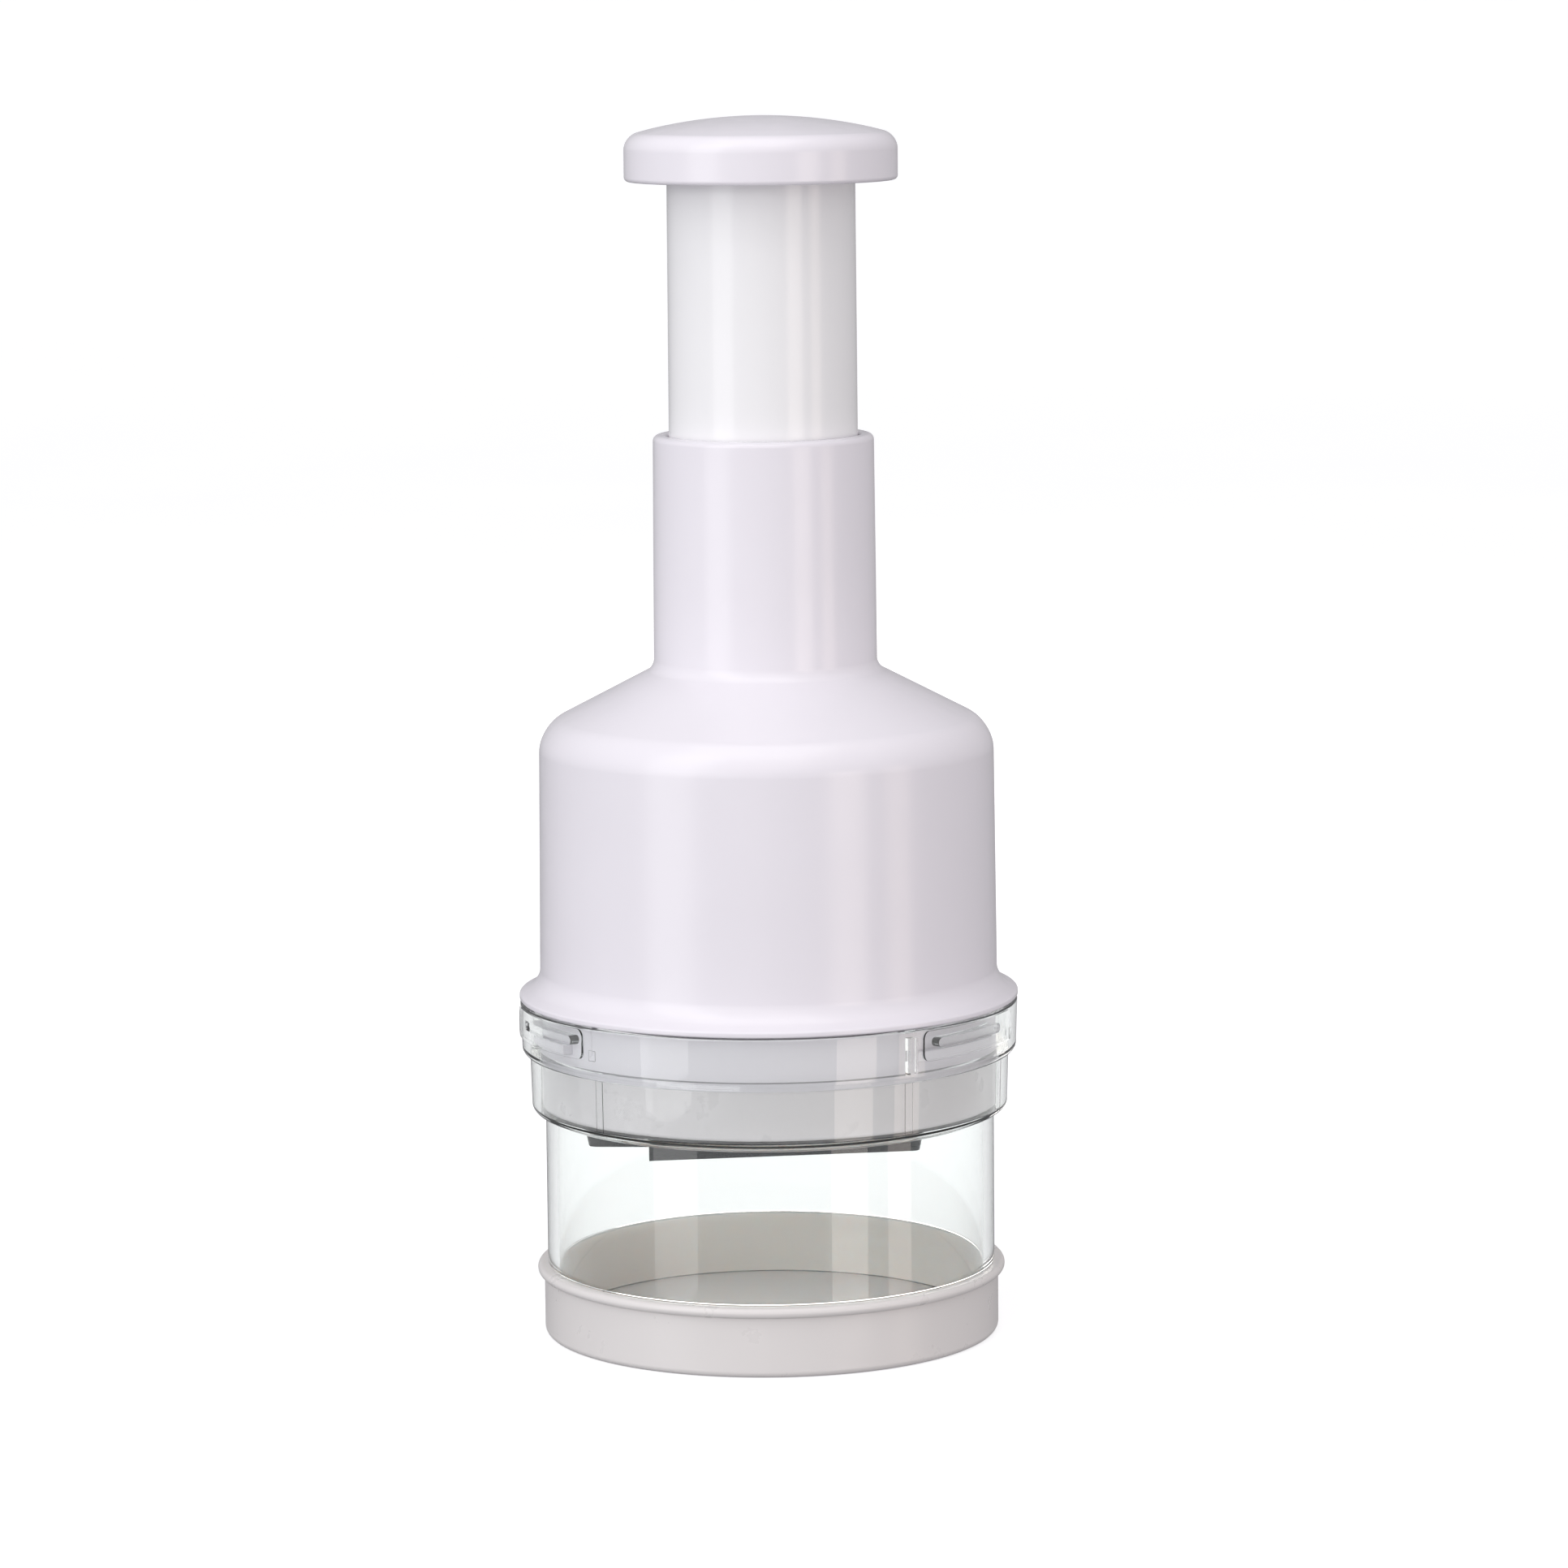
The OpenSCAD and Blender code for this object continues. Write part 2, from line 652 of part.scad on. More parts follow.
module carrier_rivets() {
    top = rotor_z + rotor_flange_t;
    color("silver") at_rivets() turned([
        [0, carrier_z - rivet_head_t, 0], [rivet_head_r, carrier_z - rivet_head_t, rivet_edge_r],
        [rivet_head_r, carrier_z, 0], [rivet_r, carrier_z, 0], [rivet_r, top, 0],
        [rivet_head_r, top, 0], [rivet_head_r, top + rivet_head_t, rivet_edge_r],
        [0, top + rivet_head_t, 0]]);
}

module index_rotor() {
    color("ivory") difference() {
        union() {
            cylinder_at(rotor_flange_r, rotor_z, rotor_flange_t);
            cylinder_at(hub_r, rotor_z, crown_z - slide_gap - rotor_z);
            ring(tooth_in_r, tooth_out_r, rotor_z + rotor_flange_t / 2,
                tooth_z - rotor_z - rotor_flange_t / 2);
        }
        saw_teeth(tooth_gap);
        cylinder_at(rod_r + press_gap, rod_z, crown_z);
        at_rivets() cylinder_at(rivet_r + press_gap, rotor_z - overrun, rotor_flange_t + 2 * overrun);
        translate([-hub_r - overrun, 0, pin_z]) rotate([0, 90, 0])
            cylinder(r = pin_r + press_gap, h = hub_r + tooth_out_r + 2 * overrun);
    }
}

module cylinder_at(r, z, h) {
    translate([0, 0, z]) cylinder(r = r, h = h);
}

module hub_pin() {
    half = hub_r - pin_trim;
    color("silver") translate([-half, 0, pin_z]) rotate([0, 90, 0])
        cylinder(r = pin_r, h = 2 * half);
}

module drive_rod() {
    collar_z = boss_z - snug_gap;
    color("silver") difference() {
        turned([
            [0, rod_z, 0], [rod_r, rod_z, rod_edge_r], [rod_r, collar_z - rod_collar_h, 0],
            [rod_collar_r, collar_z - rod_collar_h, rod_edge_r], [rod_collar_r, collar_z, 0],
            [rod_r, collar_z, 0], [rod_r, rod_top_z, 0], [0, rod_top_z, 0]]);
        cylinder_at(top_screw_r + press_gap, rod_top_z - top_screw_len - overrun,
            top_screw_len + 2 * overrun);
        translate([-rod_r - overrun, 0, pin_z]) rotate([0, 90, 0])
            cylinder(r = pin_r + press_gap, h = 2 * rod_r + 2 * overrun);
    }
}

module thrust_washer() {
    color("silver") ring(rod_r + snug_gap, washer_r, washer_z, washer_t - press_gap);
}

module rod_top_screw() {
    top = rod_top_z + top_screw_head_t;
    color("silver") turned([
        [0, rod_top_z - top_screw_len, 0], [top_screw_r, rod_top_z - top_screw_len, 0],
        [top_screw_r, rod_top_z, 0], [top_screw_head_r, rod_top_z, 0],
        [top_screw_head_r, top, screw_edge_r], [0, top, 0]]);
}

module plunger_tube() {
    tube_top_z = knob_z + socket_depth;
    color("whitesmoke") difference() {
        turned([
            [tube_in_r, plunger_z, 0], [tube_foot_r, plunger_z, rod_edge_r],
            [tube_foot_r, plunger_z + tube_foot_h, rod_edge_r], [tube_r, plunger_z + tube_foot_h, 0],
            [tube_r - tube_draft, tube_top_z, rod_edge_r], [tube_in_r, tube_top_z, rod_edge_r],
            [tube_in_r, web_top_z, 0], [rod_r + turn_gap, web_top_z, 0],
            [rod_r + turn_gap, boss_z, 0], [boss_r, boss_z, rod_edge_r], [boss_r, web_z, 0],
            [tube_in_r, web_z, 0]]);
        for (k = [0:3]) rotate([0, 0, 45 + 90 * k])
            translate([tube_r + press_gap, -guide_rib_t / 2 - slide_gap, plunger_z - overrun])
                cube([guide_rib_out + overrun, guide_rib_t + 2 * slide_gap,
                    tube_foot_h + 2 * overrun]);
    }
}

// Height of the knob's dome at radius r
function dome_z(r) = top_z - dome_r + sqrt(dome_r * dome_r - r * r);

module press_knob() {
    socket_r = tube_r - tube_draft + press_gap;
    socket_out_r = socket_r + socket_wall;
    hollow_r = knob_r - knob_wall;
    color("ghostwhite") turned(concat(
        [for (s = dome_shares) [s * knob_r, dome_z(s * knob_r), 0]],
        [[knob_r, dome_z(knob_r), knob_edge_r], [knob_r, knob_z, knob_foot_r],
            [hollow_r, knob_z, 0], [hollow_r, dome_z(hollow_r) - knob_wall, knob_roof_r],
            [socket_out_r, dome_z(socket_out_r) - knob_wall, 0],
            [socket_out_r, knob_z + socket_lift, 0], [socket_r, knob_z + socket_lift, 0],
            [socket_r, dome_z(socket_r) - knob_wall, 0],
            [socket_r / 2, dome_z(socket_r / 2) - knob_wall, 0], [0, dome_z(0) - knob_wall, 0]]));
}

// Height of the spring's wire after u turns: slow in the first and last coil
function coil_height(u) =
    let (slow = 2 * wire_r + coil_end_gap, rise = spring_top_z - spring_foot_z,
        pitch = (rise - 2 * slow) / (coil_count - 2))
    u < 1 ? slow * u :
    u < coil_count - 1 ? slow + pitch * (u - 1) : rise - slow * (coil_count - u);

coil_points = [for (i = [0:coil_rings * coil_count])
    let (u = i / coil_rings)
    [coil_r * cos(360 * u), coil_r * sin(360 * u), spring_foot_z + coil_height(u)]];

coil_least_gap = min([for (i = [0:len(coil_points) - 1])
    for (j = [i + coil_rings / 2:1:len(coil_points) - 1])
        norm(coil_points[i] - coil_points[j])]) - 2 * wire_r;

module return_spring() {
    last = len(coil_points) - 1;
    points = [for (i = [0:last])
        let (a = 360 * i / coil_rings, out = [cos(a), sin(a), 0],
            along = unit(coil_points[min(i + 1, last)] - coil_points[max(i - 1, 0)]),
            up = cross(out, along))
        for (k = [0:coil_sides - 1])
            let (t = 90 + 360 * k / coil_sides)
            coil_points[i] + wire_r * (cos(t) * out + sin(t) * up)];
    sides = [for (i = [0:last - 1], k = [0:coil_sides - 1])
        let (a = i * coil_sides + k, b = i * coil_sides + (k + 1) % coil_sides)
        each [[a, b, b + coil_sides], [a, b + coil_sides, a + coil_sides]]];
    foot_end = [for (k = [1:coil_sides - 2]) [0, k + 1, k]];
    top_end = [for (k = [1:coil_sides - 2])
        [last * coil_sides, last * coil_sides + k, last * coil_sides + k + 1]];
    color("silver") polyhedron(points, concat(sides, foot_end, top_end));
}

echo(stroke = stroke, top_z = top_z, coil_least_gap = coil_least_gap);

base_cap();
clear_cup();
bell_housing();
guide_plate();
index_crown();
rod_bush();
plate_screws();
blade_guard();
stripper_plate();
press_knob();
plunger_tube();
return_spring();
drive_rod();
thrust_washer();
rod_top_screw();
index_rotor();
hub_pin();
blade_carrier();
carrier_rivets();
zigzag_blade();
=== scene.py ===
"""A plunger food chopper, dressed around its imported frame.

Millimetres in the tables below, metres in every mesh. The frame's origin is under the middle of
the base cap, with +Z up, and the camera looks along +Y.
"""

import math
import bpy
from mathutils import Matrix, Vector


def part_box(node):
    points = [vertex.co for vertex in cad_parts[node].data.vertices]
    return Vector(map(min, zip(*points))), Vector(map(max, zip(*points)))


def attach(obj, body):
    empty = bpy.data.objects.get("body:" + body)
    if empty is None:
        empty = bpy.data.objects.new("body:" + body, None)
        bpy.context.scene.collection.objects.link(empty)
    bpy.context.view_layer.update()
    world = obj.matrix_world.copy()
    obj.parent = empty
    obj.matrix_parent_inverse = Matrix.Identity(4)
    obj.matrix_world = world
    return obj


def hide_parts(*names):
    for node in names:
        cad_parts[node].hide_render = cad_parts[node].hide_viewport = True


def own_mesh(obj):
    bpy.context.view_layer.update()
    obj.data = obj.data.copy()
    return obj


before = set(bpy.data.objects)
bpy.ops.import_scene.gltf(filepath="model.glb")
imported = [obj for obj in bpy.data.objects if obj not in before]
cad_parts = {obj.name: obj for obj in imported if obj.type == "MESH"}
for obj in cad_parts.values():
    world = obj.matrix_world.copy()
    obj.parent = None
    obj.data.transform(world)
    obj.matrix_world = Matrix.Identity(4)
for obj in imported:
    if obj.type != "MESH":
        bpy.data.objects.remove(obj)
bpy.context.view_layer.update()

from types import SimpleNamespace

import bmesh
import bpy
from bpy.props import FloatProperty, FloatVectorProperty, PointerProperty
from mathutils import Matrix, Vector

bl_info = {
    "name": "Plunger food chopper",
    "version": (1, 0, 0),
    "blender": (4, 5, 0),
    "location": "3D View > Sidebar > Chopper",
    "description": "Models and finishes the pieces of a plunger food chopper",
    "category": "Object",
}

MM = 0.001
FULL_TURN = 2 * math.pi
# Steps round a visible shell, along the arc of a small fitting, and along a rounded edge
SHELL_STEPS = 240
ARC_STEPS = 24
EDGE_STEPS = 5
MERGE_GAP = 0.001 * MM
# Faces that meet at less than this are shaded as one surface
SMOOTH_ANGLE = math.radians(32)
# Height up to which the blade's ground band is painted near black, a painted reflection
DARK_REFLECTION_TOP_MM = 39.8


def from_hex(code):
    """Linear red, green, blue and alpha of an sRGB hex colour."""
    parts = [int(code[i : i + 2], 16) / 255 for i in (1, 3, 5)]
    return [
        c / 12.92 if c <= 0.04045 else ((c + 0.055) / 1.055) ** 2.4 for c in parts
    ] + [1.0]


def length_mm(name, description, value, low, high):
    """A length in millimetres for the sidebar, kept in metres."""
    return FloatProperty(
        name=name,
        description=description,
        default=value * MM,
        min=low * MM,
        max=high * MM,
        unit="LENGTH",
        subtype="DISTANCE",
        precision=5,
    )


def tint(name, description, code):
    """A colour for the sidebar, given as sRGB hex."""
    return FloatVectorProperty(
        name=name,
        description=description,
        default=from_hex(code)[:3],
        min=0,
        max=1,
        size=3,
        subtype="COLOR",
    )


class ChopperSizes(bpy.types.PropertyGroup):
    """Main sizes of the visible shells."""

    cup_r: length_mm("Cup radius", "Outer radius of the clear cup", 40.7, 38, 50)
    cup_wall: length_mm("Cup wall", "Wall of the clear cup", 2, 1.6, 2.6)
    base_h: length_mm("Base height", "Height of the base cap to its bead", 12.8, 9, 18)
    shoulder_r: length_mm("Shoulder round", "Round of the bell's shoulder", 7, 4, 9)
    neck_edge_r: length_mm("Neck edge", "Round of the neck's mouth", 1.1, 0.3, 1.3)
    knob_r: length_mm("Knob radius", "Radius of the press knob", 24.4, 23, 30)
    dome_r: length_mm("Dome radius", "Radius of the dome on the knob", 88, 70, 160)
    knob_edge_r: length_mm("Knob edge", "Round of the knob's upper edge", 3.2, 2, 4)
    tube_r: length_mm("Tube radius", "Outer radius of the plunger tube", 17, 16.6, 18.2)
    wire_r: length_mm("Spring wire", "Radius of the spring's wire", 0.75, 0.5, 0.85)


class ChopperFinishes(bpy.types.PropertyGroup):
    """Colours of the chopper's finishes."""

    housing: tint("Bell and knob", "Polished ABS of the bell and knob", "#ECE8EF")
    # Painted shade: darker than the bell, for the light that the clear collar takes
    skirt: tint("Skirt", "ABS of the bell's skirt inside the clear collar", "#DCD8DF")
    tube: tint("Tube", "ABS of the plunger tube", "#F3F2F4")
    # Painted shade: darker than the bell, for the light that the clear collar takes
    guard: tint("Blade guard", "ABS of the ring behind the clear collar", "#D0CCCF")
    base: tint("Base cap", "Satin ABS of the base cap", "#E3DFDE")
    # Painted light: lighter and warmer than the outside of the base cap, for the light that
    # comes in through the cup
    base_inside_painted_light: tint("Base inside", "Inside of the base cap", "#FFEEE9")
    cup: tint("Clear cup", "Tint of the clear cup", "#FDFFFE")
    acetal: tint("Acetal", "Natural acetal of the gear and plates", "#E9E6DC")
    bush: tint("Bush", "Natural nylon of the rod's bush", "#D8C9A4")
    zinc: tint("Zinc plate", "Blue-passivated zinc on screws and rod", "#B9BEC4")
    spring: tint("Spring wire", "Drawn spring wire", "#8F9194")
    blade: tint("Blade", "Stainless strip of the blade", "#A3A7A9")
    # Painted reflection: near black, for the dark that the ground band mirrors from the front
    blade_edge_painted_reflection: tint("Blade edge", "Ground band at the edge of the blade", "#232627")


class ChopperStudio(bpy.types.PropertyGroup):
    """Camera and lights."""

    distance: length_mm("Camera distance", "From the axis to the camera", 1082, 500, 3000)
    height: length_mm("Camera height", "Of the camera above the floor", 252, 0, 900)
    lens: FloatProperty(
        name="Lens",
        description="Focal length of the camera",
        default=138.97,
        min=20,
        max=400,
        unit="CAMERA",
    )
    ambient: FloatProperty(
        name="Room light",
        description="Brightness of the white room",
        default=0.68,
        min=0,
        max=4,
        subtype="FACTOR",
    )


def measures():
    """Every radius and height that the pieces share, in millimetres."""
    s = bpy.context.scene.chopper_sizes
    m = SimpleNamespace()
    m.cup_r, m.cup_wall, m.base_h = s.cup_r / MM, s.cup_wall / MM, s.base_h / MM
    m.shoulder_r, m.neck_edge_r = s.shoulder_r / MM, s.neck_edge_r / MM
    m.knob_r, m.dome_r, m.knob_edge_r = s.knob_r / MM, s.dome_r / MM, s.knob_edge_r / MM
    m.tube_r, m.wire_r = s.tube_r / MM, s.wire_r / MM
    # Walls, the gaps between fitted pieces, how deep a fitting is rooted, and half a rib
    m.wall, m.collar_wall, m.knob_wall = 2, 1.7, 2.2
    m.seat_gap, m.snug_gap, m.press_gap = 0.25, 0.1, 0.05
    m.root, m.rib_half = 0.6, 0.8
    # Base cap and the foot of the cup
    m.cup_in_r = m.cup_r - m.cup_wall
    m.spigot_r = m.cup_r - 0.75
    m.base_in_r = m.spigot_r + m.snug_gap
    m.base_r = m.base_in_r + 1.3
    m.foot_h = 0.4
    m.floor_z = 1.6
    # Collar of the cup
    m.low_in_r = m.cup_in_r + 2.7
    m.low_r = m.low_in_r + m.collar_wall
    m.ledge_z = m.floor_z + 40.6
    m.low_z = m.ledge_z - 1.7
    m.high_z = m.low_z + 11.2
    m.web = 1.5
    m.skirt_r = m.low_in_r - m.seat_gap
    m.skirt_in_r = m.skirt_r - m.wall
    m.lug_out_r = m.skirt_r + 1.65
    m.high_in_r = m.lug_out_r + m.seat_gap
    m.high_r = m.high_in_r + m.collar_wall
    m.draft = 0.3
    # Guard, skirt and bell
    m.guard_z = m.ledge_z + m.seat_gap
    m.guard_top_z = m.guard_z + 9.55
    m.skirt_z = m.guard_top_z + m.snug_gap
    m.flange_z = m.skirt_z + 9.4
    m.rim_z = m.flange_z - 0.3
    m.bell_r = m.skirt_r + 0.25
    m.bell_top_r = m.bell_r - 0.45
    m.flange_r = m.high_r + m.draft + m.snug_gap
    m.plate_top_z = 94.85
    m.corner_z = m.plate_top_z + 15.75
    m.slope = math.tan(math.radians(27.5))
    m.lip_in_r = m.tube_r + 0.3
    m.neck_in_r = m.lip_in_r + 0.7
    m.neck_r = m.neck_in_r + 2.1
    m.neck_top_z = 163.3
    m.lip_z = m.neck_top_z - 2.5
    # Lugs of the skirt, and the ledges of the collar that they turn under
    m.lug_z, m.lug_h = m.flange_z - 6.3, 1.9
    m.bar_z, m.bar_h = m.lug_z + 2.1, 1.7
    # Knob, foot of the plunger, underside of the web in its tube, and its stroke
    m.top_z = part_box("press_knob")[1].z / MM
    m.knob_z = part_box("press_knob")[0].z / MM
    m.plunger_z = 130.15
    m.web_z = m.knob_z - 4.5
    m.stroke = 34.2
    return m


# Angles in degrees: the bayonet stations, the ribs beside each one, half a ledge, and a lug
STATIONS = (-35, 85, 205)
STOP_ARC = 19.5
BAR_ARC = 11.27
LUG_ARC = 27
LUG_START = -18.03
# Angles of the webs that guide the plunger's foot, and of the screw bosses
WEBS = (45, 135, 225, 315)
BOSSES = (90, 210, 330)


def begin():
    """Leaves edit mode with nothing selected."""
    if bpy.context.mode != "OBJECT":
        bpy.ops.object.mode_set(mode="OBJECT")
    bpy.ops.object.select_all(action="DESELECT")


def only(piece):
    """Selects one piece and makes it the active one."""
    begin()
    piece.select_set(True)
    bpy.context.view_layer.objects.active = piece


def add(kind, name, **settings):
    """Adds a primitive on its own and opens it in edit mode, all selected."""
    begin()
    getattr(bpy.ops.mesh, f"primitive_{kind}_add")(**settings)
    piece = bpy.context.object
    piece.name = piece.data.name = name
    bpy.ops.object.transform_apply(location=True, rotation=True, scale=True)
    bpy.ops.object.mode_set(mode="EDIT")
    bpy.context.tool_settings.mesh_select_mode = (True, False, False)
    return piece


def pick(piece, test, kind="VERT"):
    """Selects the vertices, edges or faces of a piece in edit mode that pass a test."""
    kinds = ("VERT", "EDGE", "FACE")
    bpy.context.tool_settings.mesh_select_mode = [kind == other for other in kinds]
    bpy.ops.mesh.select_all(action="DESELECT")
    mesh = bmesh.from_edit_mesh(piece.data)
    mesh.normal_update()
    found = {"VERT": mesh.verts, "EDGE": mesh.edges, "FACE": mesh.faces}[kind]
    for part in found:
        if test(part):
            part.select_set(True)
    mesh.select_flush_mode()
    bmesh.update_edit_mesh(piece.data)


def extrude(way):
    """Extrudes what is selected along a way in metres."""
    bpy.ops.mesh.extrude_region_move(TRANSFORM_OT_translate={"value": way})


def close(piece):
    """Merges doubles, turns the faces outwards and leaves edit mode."""
    bpy.context.tool_settings.mesh_select_mode = (True, False, False)
    bpy.ops.mesh.select_all(action="SELECT")
    bpy.ops.mesh.remove_doubles(threshold=MERGE_GAP)
    bpy.ops.mesh.normals_make_consistent(inside=False)
    bpy.ops.object.mode_set(mode="OBJECT")


def tangent(before, corner, after, radius):
    """How far from the corner a round of this radius meets the two sides."""
    a = Vector(before[:2]) - Vector(corner[:2])
    b = Vector(after[:2]) - Vector(corner[:2])
    return radius / math.tan(a.angle(b) / 2)


def draw_outline(name, corners, closed, steps=EDGE_STEPS):
    """Extrudes a point through [radius, height, round] corners and rounds them by bevels."""
    piece = add("plane", name, size=MM)
    bpy.ops.mesh.merge(type="CENTER")
    bpy.ops.transform.translate(value=(corners[0][0] * MM, 0, corners[0][1] * MM))
    for (r0, z0, _), (r1, z1, _) in zip(corners, corners[1:]):
        extrude(((r1 - r0) * MM, 0, (z1 - z0) * MM))
    if closed:
        ends = [Vector((c[0] * MM, 0, c[1] * MM)) for c in (corners[0], corners[-1])]
        pick(piece, lambda v: min((v.co - e).length for e in ends) < MERGE_GAP)
        bpy.ops.mesh.edge_face_add()
    count = len(corners)
    for i, (r, z, rounding) in enumerate(corners):
        if not rounding:
            continue
        cut = tangent(corners[i - 1], corners[i], corners[(i + 1) % count], rounding)
        place = Vector((r * MM, 0, z * MM))
        pick(piece, lambda v: (v.co - place).length < MERGE_GAP)
        bpy.ops.mesh.bevel(offset=cut * MM, segments=steps, affect="VERTICES")
    return piece


def turn(name, corners, closed=True, steps=EDGE_STEPS):
    """A solid spun about the axis from such an outline."""
    piece = draw_outline(name, corners, closed, steps)
    bpy.ops.mesh.select_all(action="SELECT")
    bpy.ops.mesh.spin(
        steps=SHELL_STEPS, angle=FULL_TURN, center=(0, 0, 0), axis=(0, 0, 1)
    )
    close(piece)
    return piece


def turn_arc(name, corners, start_deg, arc_deg):
    """A closed solid spun through part of a turn, with flat ends, left in edit mode."""
    piece = draw_outline(name, corners, True)
    bpy.ops.mesh.select_all(action="SELECT")
    bpy.ops.mesh.edge_face_add()
    # A positive angle spins clockwise seen from above
    bpy.ops.mesh.spin(
        steps=ARC_STEPS, angle=-math.radians(arc_deg), center=(0, 0, 0), axis=(0, 0, 1)
    )
    close(piece)
    turned_by(piece, start_deg)
    bpy.ops.object.mode_set(mode="EDIT")
    return piece


def block(name, low, high, edge=0.0):
    """A block between two corners in millimetres, with its edges beveled."""
    low, high = Vector(low), Vector(high)
    add(
        "cube",
        name,
        size=1,
        location=(low + high) / 2 * MM,
        scale=(high - low) * MM,
    )
    if edge:
        bpy.ops.mesh.select_all(action="SELECT")
        bpy.ops.mesh.bevel(offset=edge * MM, segments=3, affect="EDGES")
    bpy.ops.object.mode_set(mode="OBJECT")
    return bpy.context.object


def turned_by(piece, degrees):
    """Turns the mesh of a piece about the axis."""
    piece.data.transform(Matrix.Rotation(math.radians(degrees), 4, "Z"))
    return piece


def copies_at(piece, angles):
    """The piece and copies of it with their own meshes, one at each angle about the axis."""
    made = []
    for i, angle in enumerate(angles):
        other = piece if i == len(angles) - 1 else piece.copy()
        if other is not piece:
            other.data = piece.data.copy()
            bpy.context.collection.objects.link(other)
        made.append(turned_by(other, angle))
    return made


def joined(pieces, name):
    """One object out of several."""
    begin()
    for piece in pieces:
        piece.select_set(True)
    bpy.context.view_layer.objects.active = pieces[0]
    if len(pieces) > 1:
        bpy.ops.object.join()
    whole = bpy.context.view_layer.objects.active
    whole.name = whole.data.name = name
    return whole


def combine(piece, tool, operation="UNION"):
    """Joins the tool's solid to the piece, or cuts it out, and removes the tool."""
    only(piece)
    cut = piece.modifiers.new("combine", "BOOLEAN")
    cut.operation = operation
    cut.solver = "EXACT"
    cut.object = tool
    bpy.ops.object.modifier_apply(modifier=cut.name)
    bpy.data.objects.remove(tool)
    return piece


def finish(piece, material, body, node_name):
    """Shades a piece, gives it its finish and its body, and hides the node that it stands for.
    """
    only(piece)
    bpy.ops.object.shade_smooth_by_angle(angle=SMOOTH_ANGLE)
    # Weighted by area, a long wall stays true to its own normals beside a small round
    weighted = piece.modifiers.new("weighted", "WEIGHTED_NORMAL")
    weighted.keep_sharp = True
    bpy.ops.object.modifier_apply(modifier=weighted.name)
    piece.data.materials.clear()
    piece.data.materials.append(material)
    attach(piece, body)
    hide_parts(node_name)


def refinish(piece, material, test):
    """Gives another finish to the faces of a piece whose middle passes a test."""
    piece.data.materials.append(material)
    for face in piece.data.polygons:
        if test(face.center):
            face.material_index = 1


def taken_from(cad, name):
    """A merged copy of a CAD node's mesh, for small parts whose shape is right."""
    piece = bpy.data.objects.new(name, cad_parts[cad].data.copy())
    piece.data.name = name
    bpy.context.collection.objects.link(piece)
    only(piece)
    bpy.ops.mesh.customdata_custom_splitnormals_clear()
    bpy.ops.object.mode_set(mode="EDIT")
    bpy.ops.mesh.select_all(action="SELECT")
    bpy.ops.mesh.remove_doubles(threshold=MERGE_GAP)
    bpy.ops.object.mode_set(mode="OBJECT")
    return piece


def node(tree, kind, values=None, links=None, **settings):
    """Adds a shader node with its settings, its sockets' values and its links."""
    made = tree.nodes.new(kind)
    for name, value in settings.items():
        setattr(made, name, value)
    for name, value in (values or {}).items():
        made.inputs[name].default_value = value
    for name, source in (links or {}).items():
        tree.links.new(source, made.inputs[name])
    return made


def per_mm(size_mm):
    """Noise scale that makes its features about this many millimetres wide."""
    return 1 / (size_mm * MM)


def blank(name):
    """An empty material with its output, and the piece's own coordinates."""
    material = bpy.data.materials.new(name)
    material.use_nodes = True
    tree = material.node_tree
    tree.nodes.clear()
    output = node(tree, "ShaderNodeOutputMaterial")
    place = node(tree, "ShaderNodeTexCoord").outputs["Object"]
    return material, tree, output, place


def noise(tree, place, size_mm, detail=2.0, roughness=0.5, stretch=None):
    """A noise pattern of a real size, stretched along the axes where asked."""
    if stretch:
        place = node(
            tree, "ShaderNodeMapping", {"Scale": stretch}, {"Vector": place}
        ).outputs[0]
    return node(
        tree,
        "ShaderNodeTexNoise",
        {"Scale": per_mm(size_mm), "Detail": detail, "Roughness": roughness},
        {"Vector": place},
    ).outputs["Fac"]


def between(tree, factor, low, high):
    """Carries a pattern from its usual spread onto a range of values."""
    return node(
        tree,
        "ShaderNodeMapRange",
        {"From Min": 0.3, "From Max": 0.7, "To Min": low, "To Max": high},
        {"Value": factor},
    ).outputs["Result"]


def bump(tree, height, strength, depth_mm, **over):
    """Bumps of a real depth, laid over another normal where asked."""
    return node(
        tree,
        "ShaderNodeBump",
        {"Strength": strength, "Distance": depth_mm * MM},
        {"Height": height, **over},
    ).outputs[0]


def blend_colours(tree, factor, first, second):
    """A colour that goes from one to the other with a pattern."""
    made = node(tree, "ShaderNodeMix", data_type="RGBA")
    for place, colour in ((6, first), (7, second)):
        if isinstance(colour, bpy.types.NodeSocket):
            tree.links.new(colour, made.inputs[place])
        else:
            made.inputs[place].default_value = colour
    tree.links.new(factor, made.inputs[0])
    return made.outputs[2]


def shade(colour, share=1.0):
    """An opaque colour, made darker or lighter by a share."""
    return [min(1.0, c * share) for c in colour[:3]] + [1.0]


def moulded_plastic(name, colour, rough, grain_mm=0.002, ior=1.54, glow_mm=0.0):
    """Opaque moulded plastic: faint flow clouds, ripple from cooling and a fine skin."""
    material, tree, output, place = blank(name)
    clouds = noise(tree, place, 22, 3)
    wipe = noise(tree, place, 7, 4, 0.6)
    ripples = noise(tree, place, 9, 1)
    skin = noise(tree, place, 0.5, 2)
    wide = bump(tree, ripples, 0.35, 0.012)
    fine = bump(tree, skin, 0.4, grain_mm, Normal=wide)
    shader = node(
        tree,
        "ShaderNodeBsdfPrincipled",
        {
            "IOR": ior,
            "Subsurface Weight": 1.0 if glow_mm else 0.0,
            "Subsurface Scale": glow_mm * MM,
            "Subsurface Radius": (1.0, 0.8, 0.7),
        },
        {
            "Base Color": blend_colours(tree, clouds, shade(colour, 0.975), shade(colour, 1.02)),
            "Roughness": between(tree, wipe, rough * 0.85, rough * 1.2),
            "Normal": fine,
        },
    )
    tree.links.new(shader.outputs[0], output.inputs["Surface"])
    return material


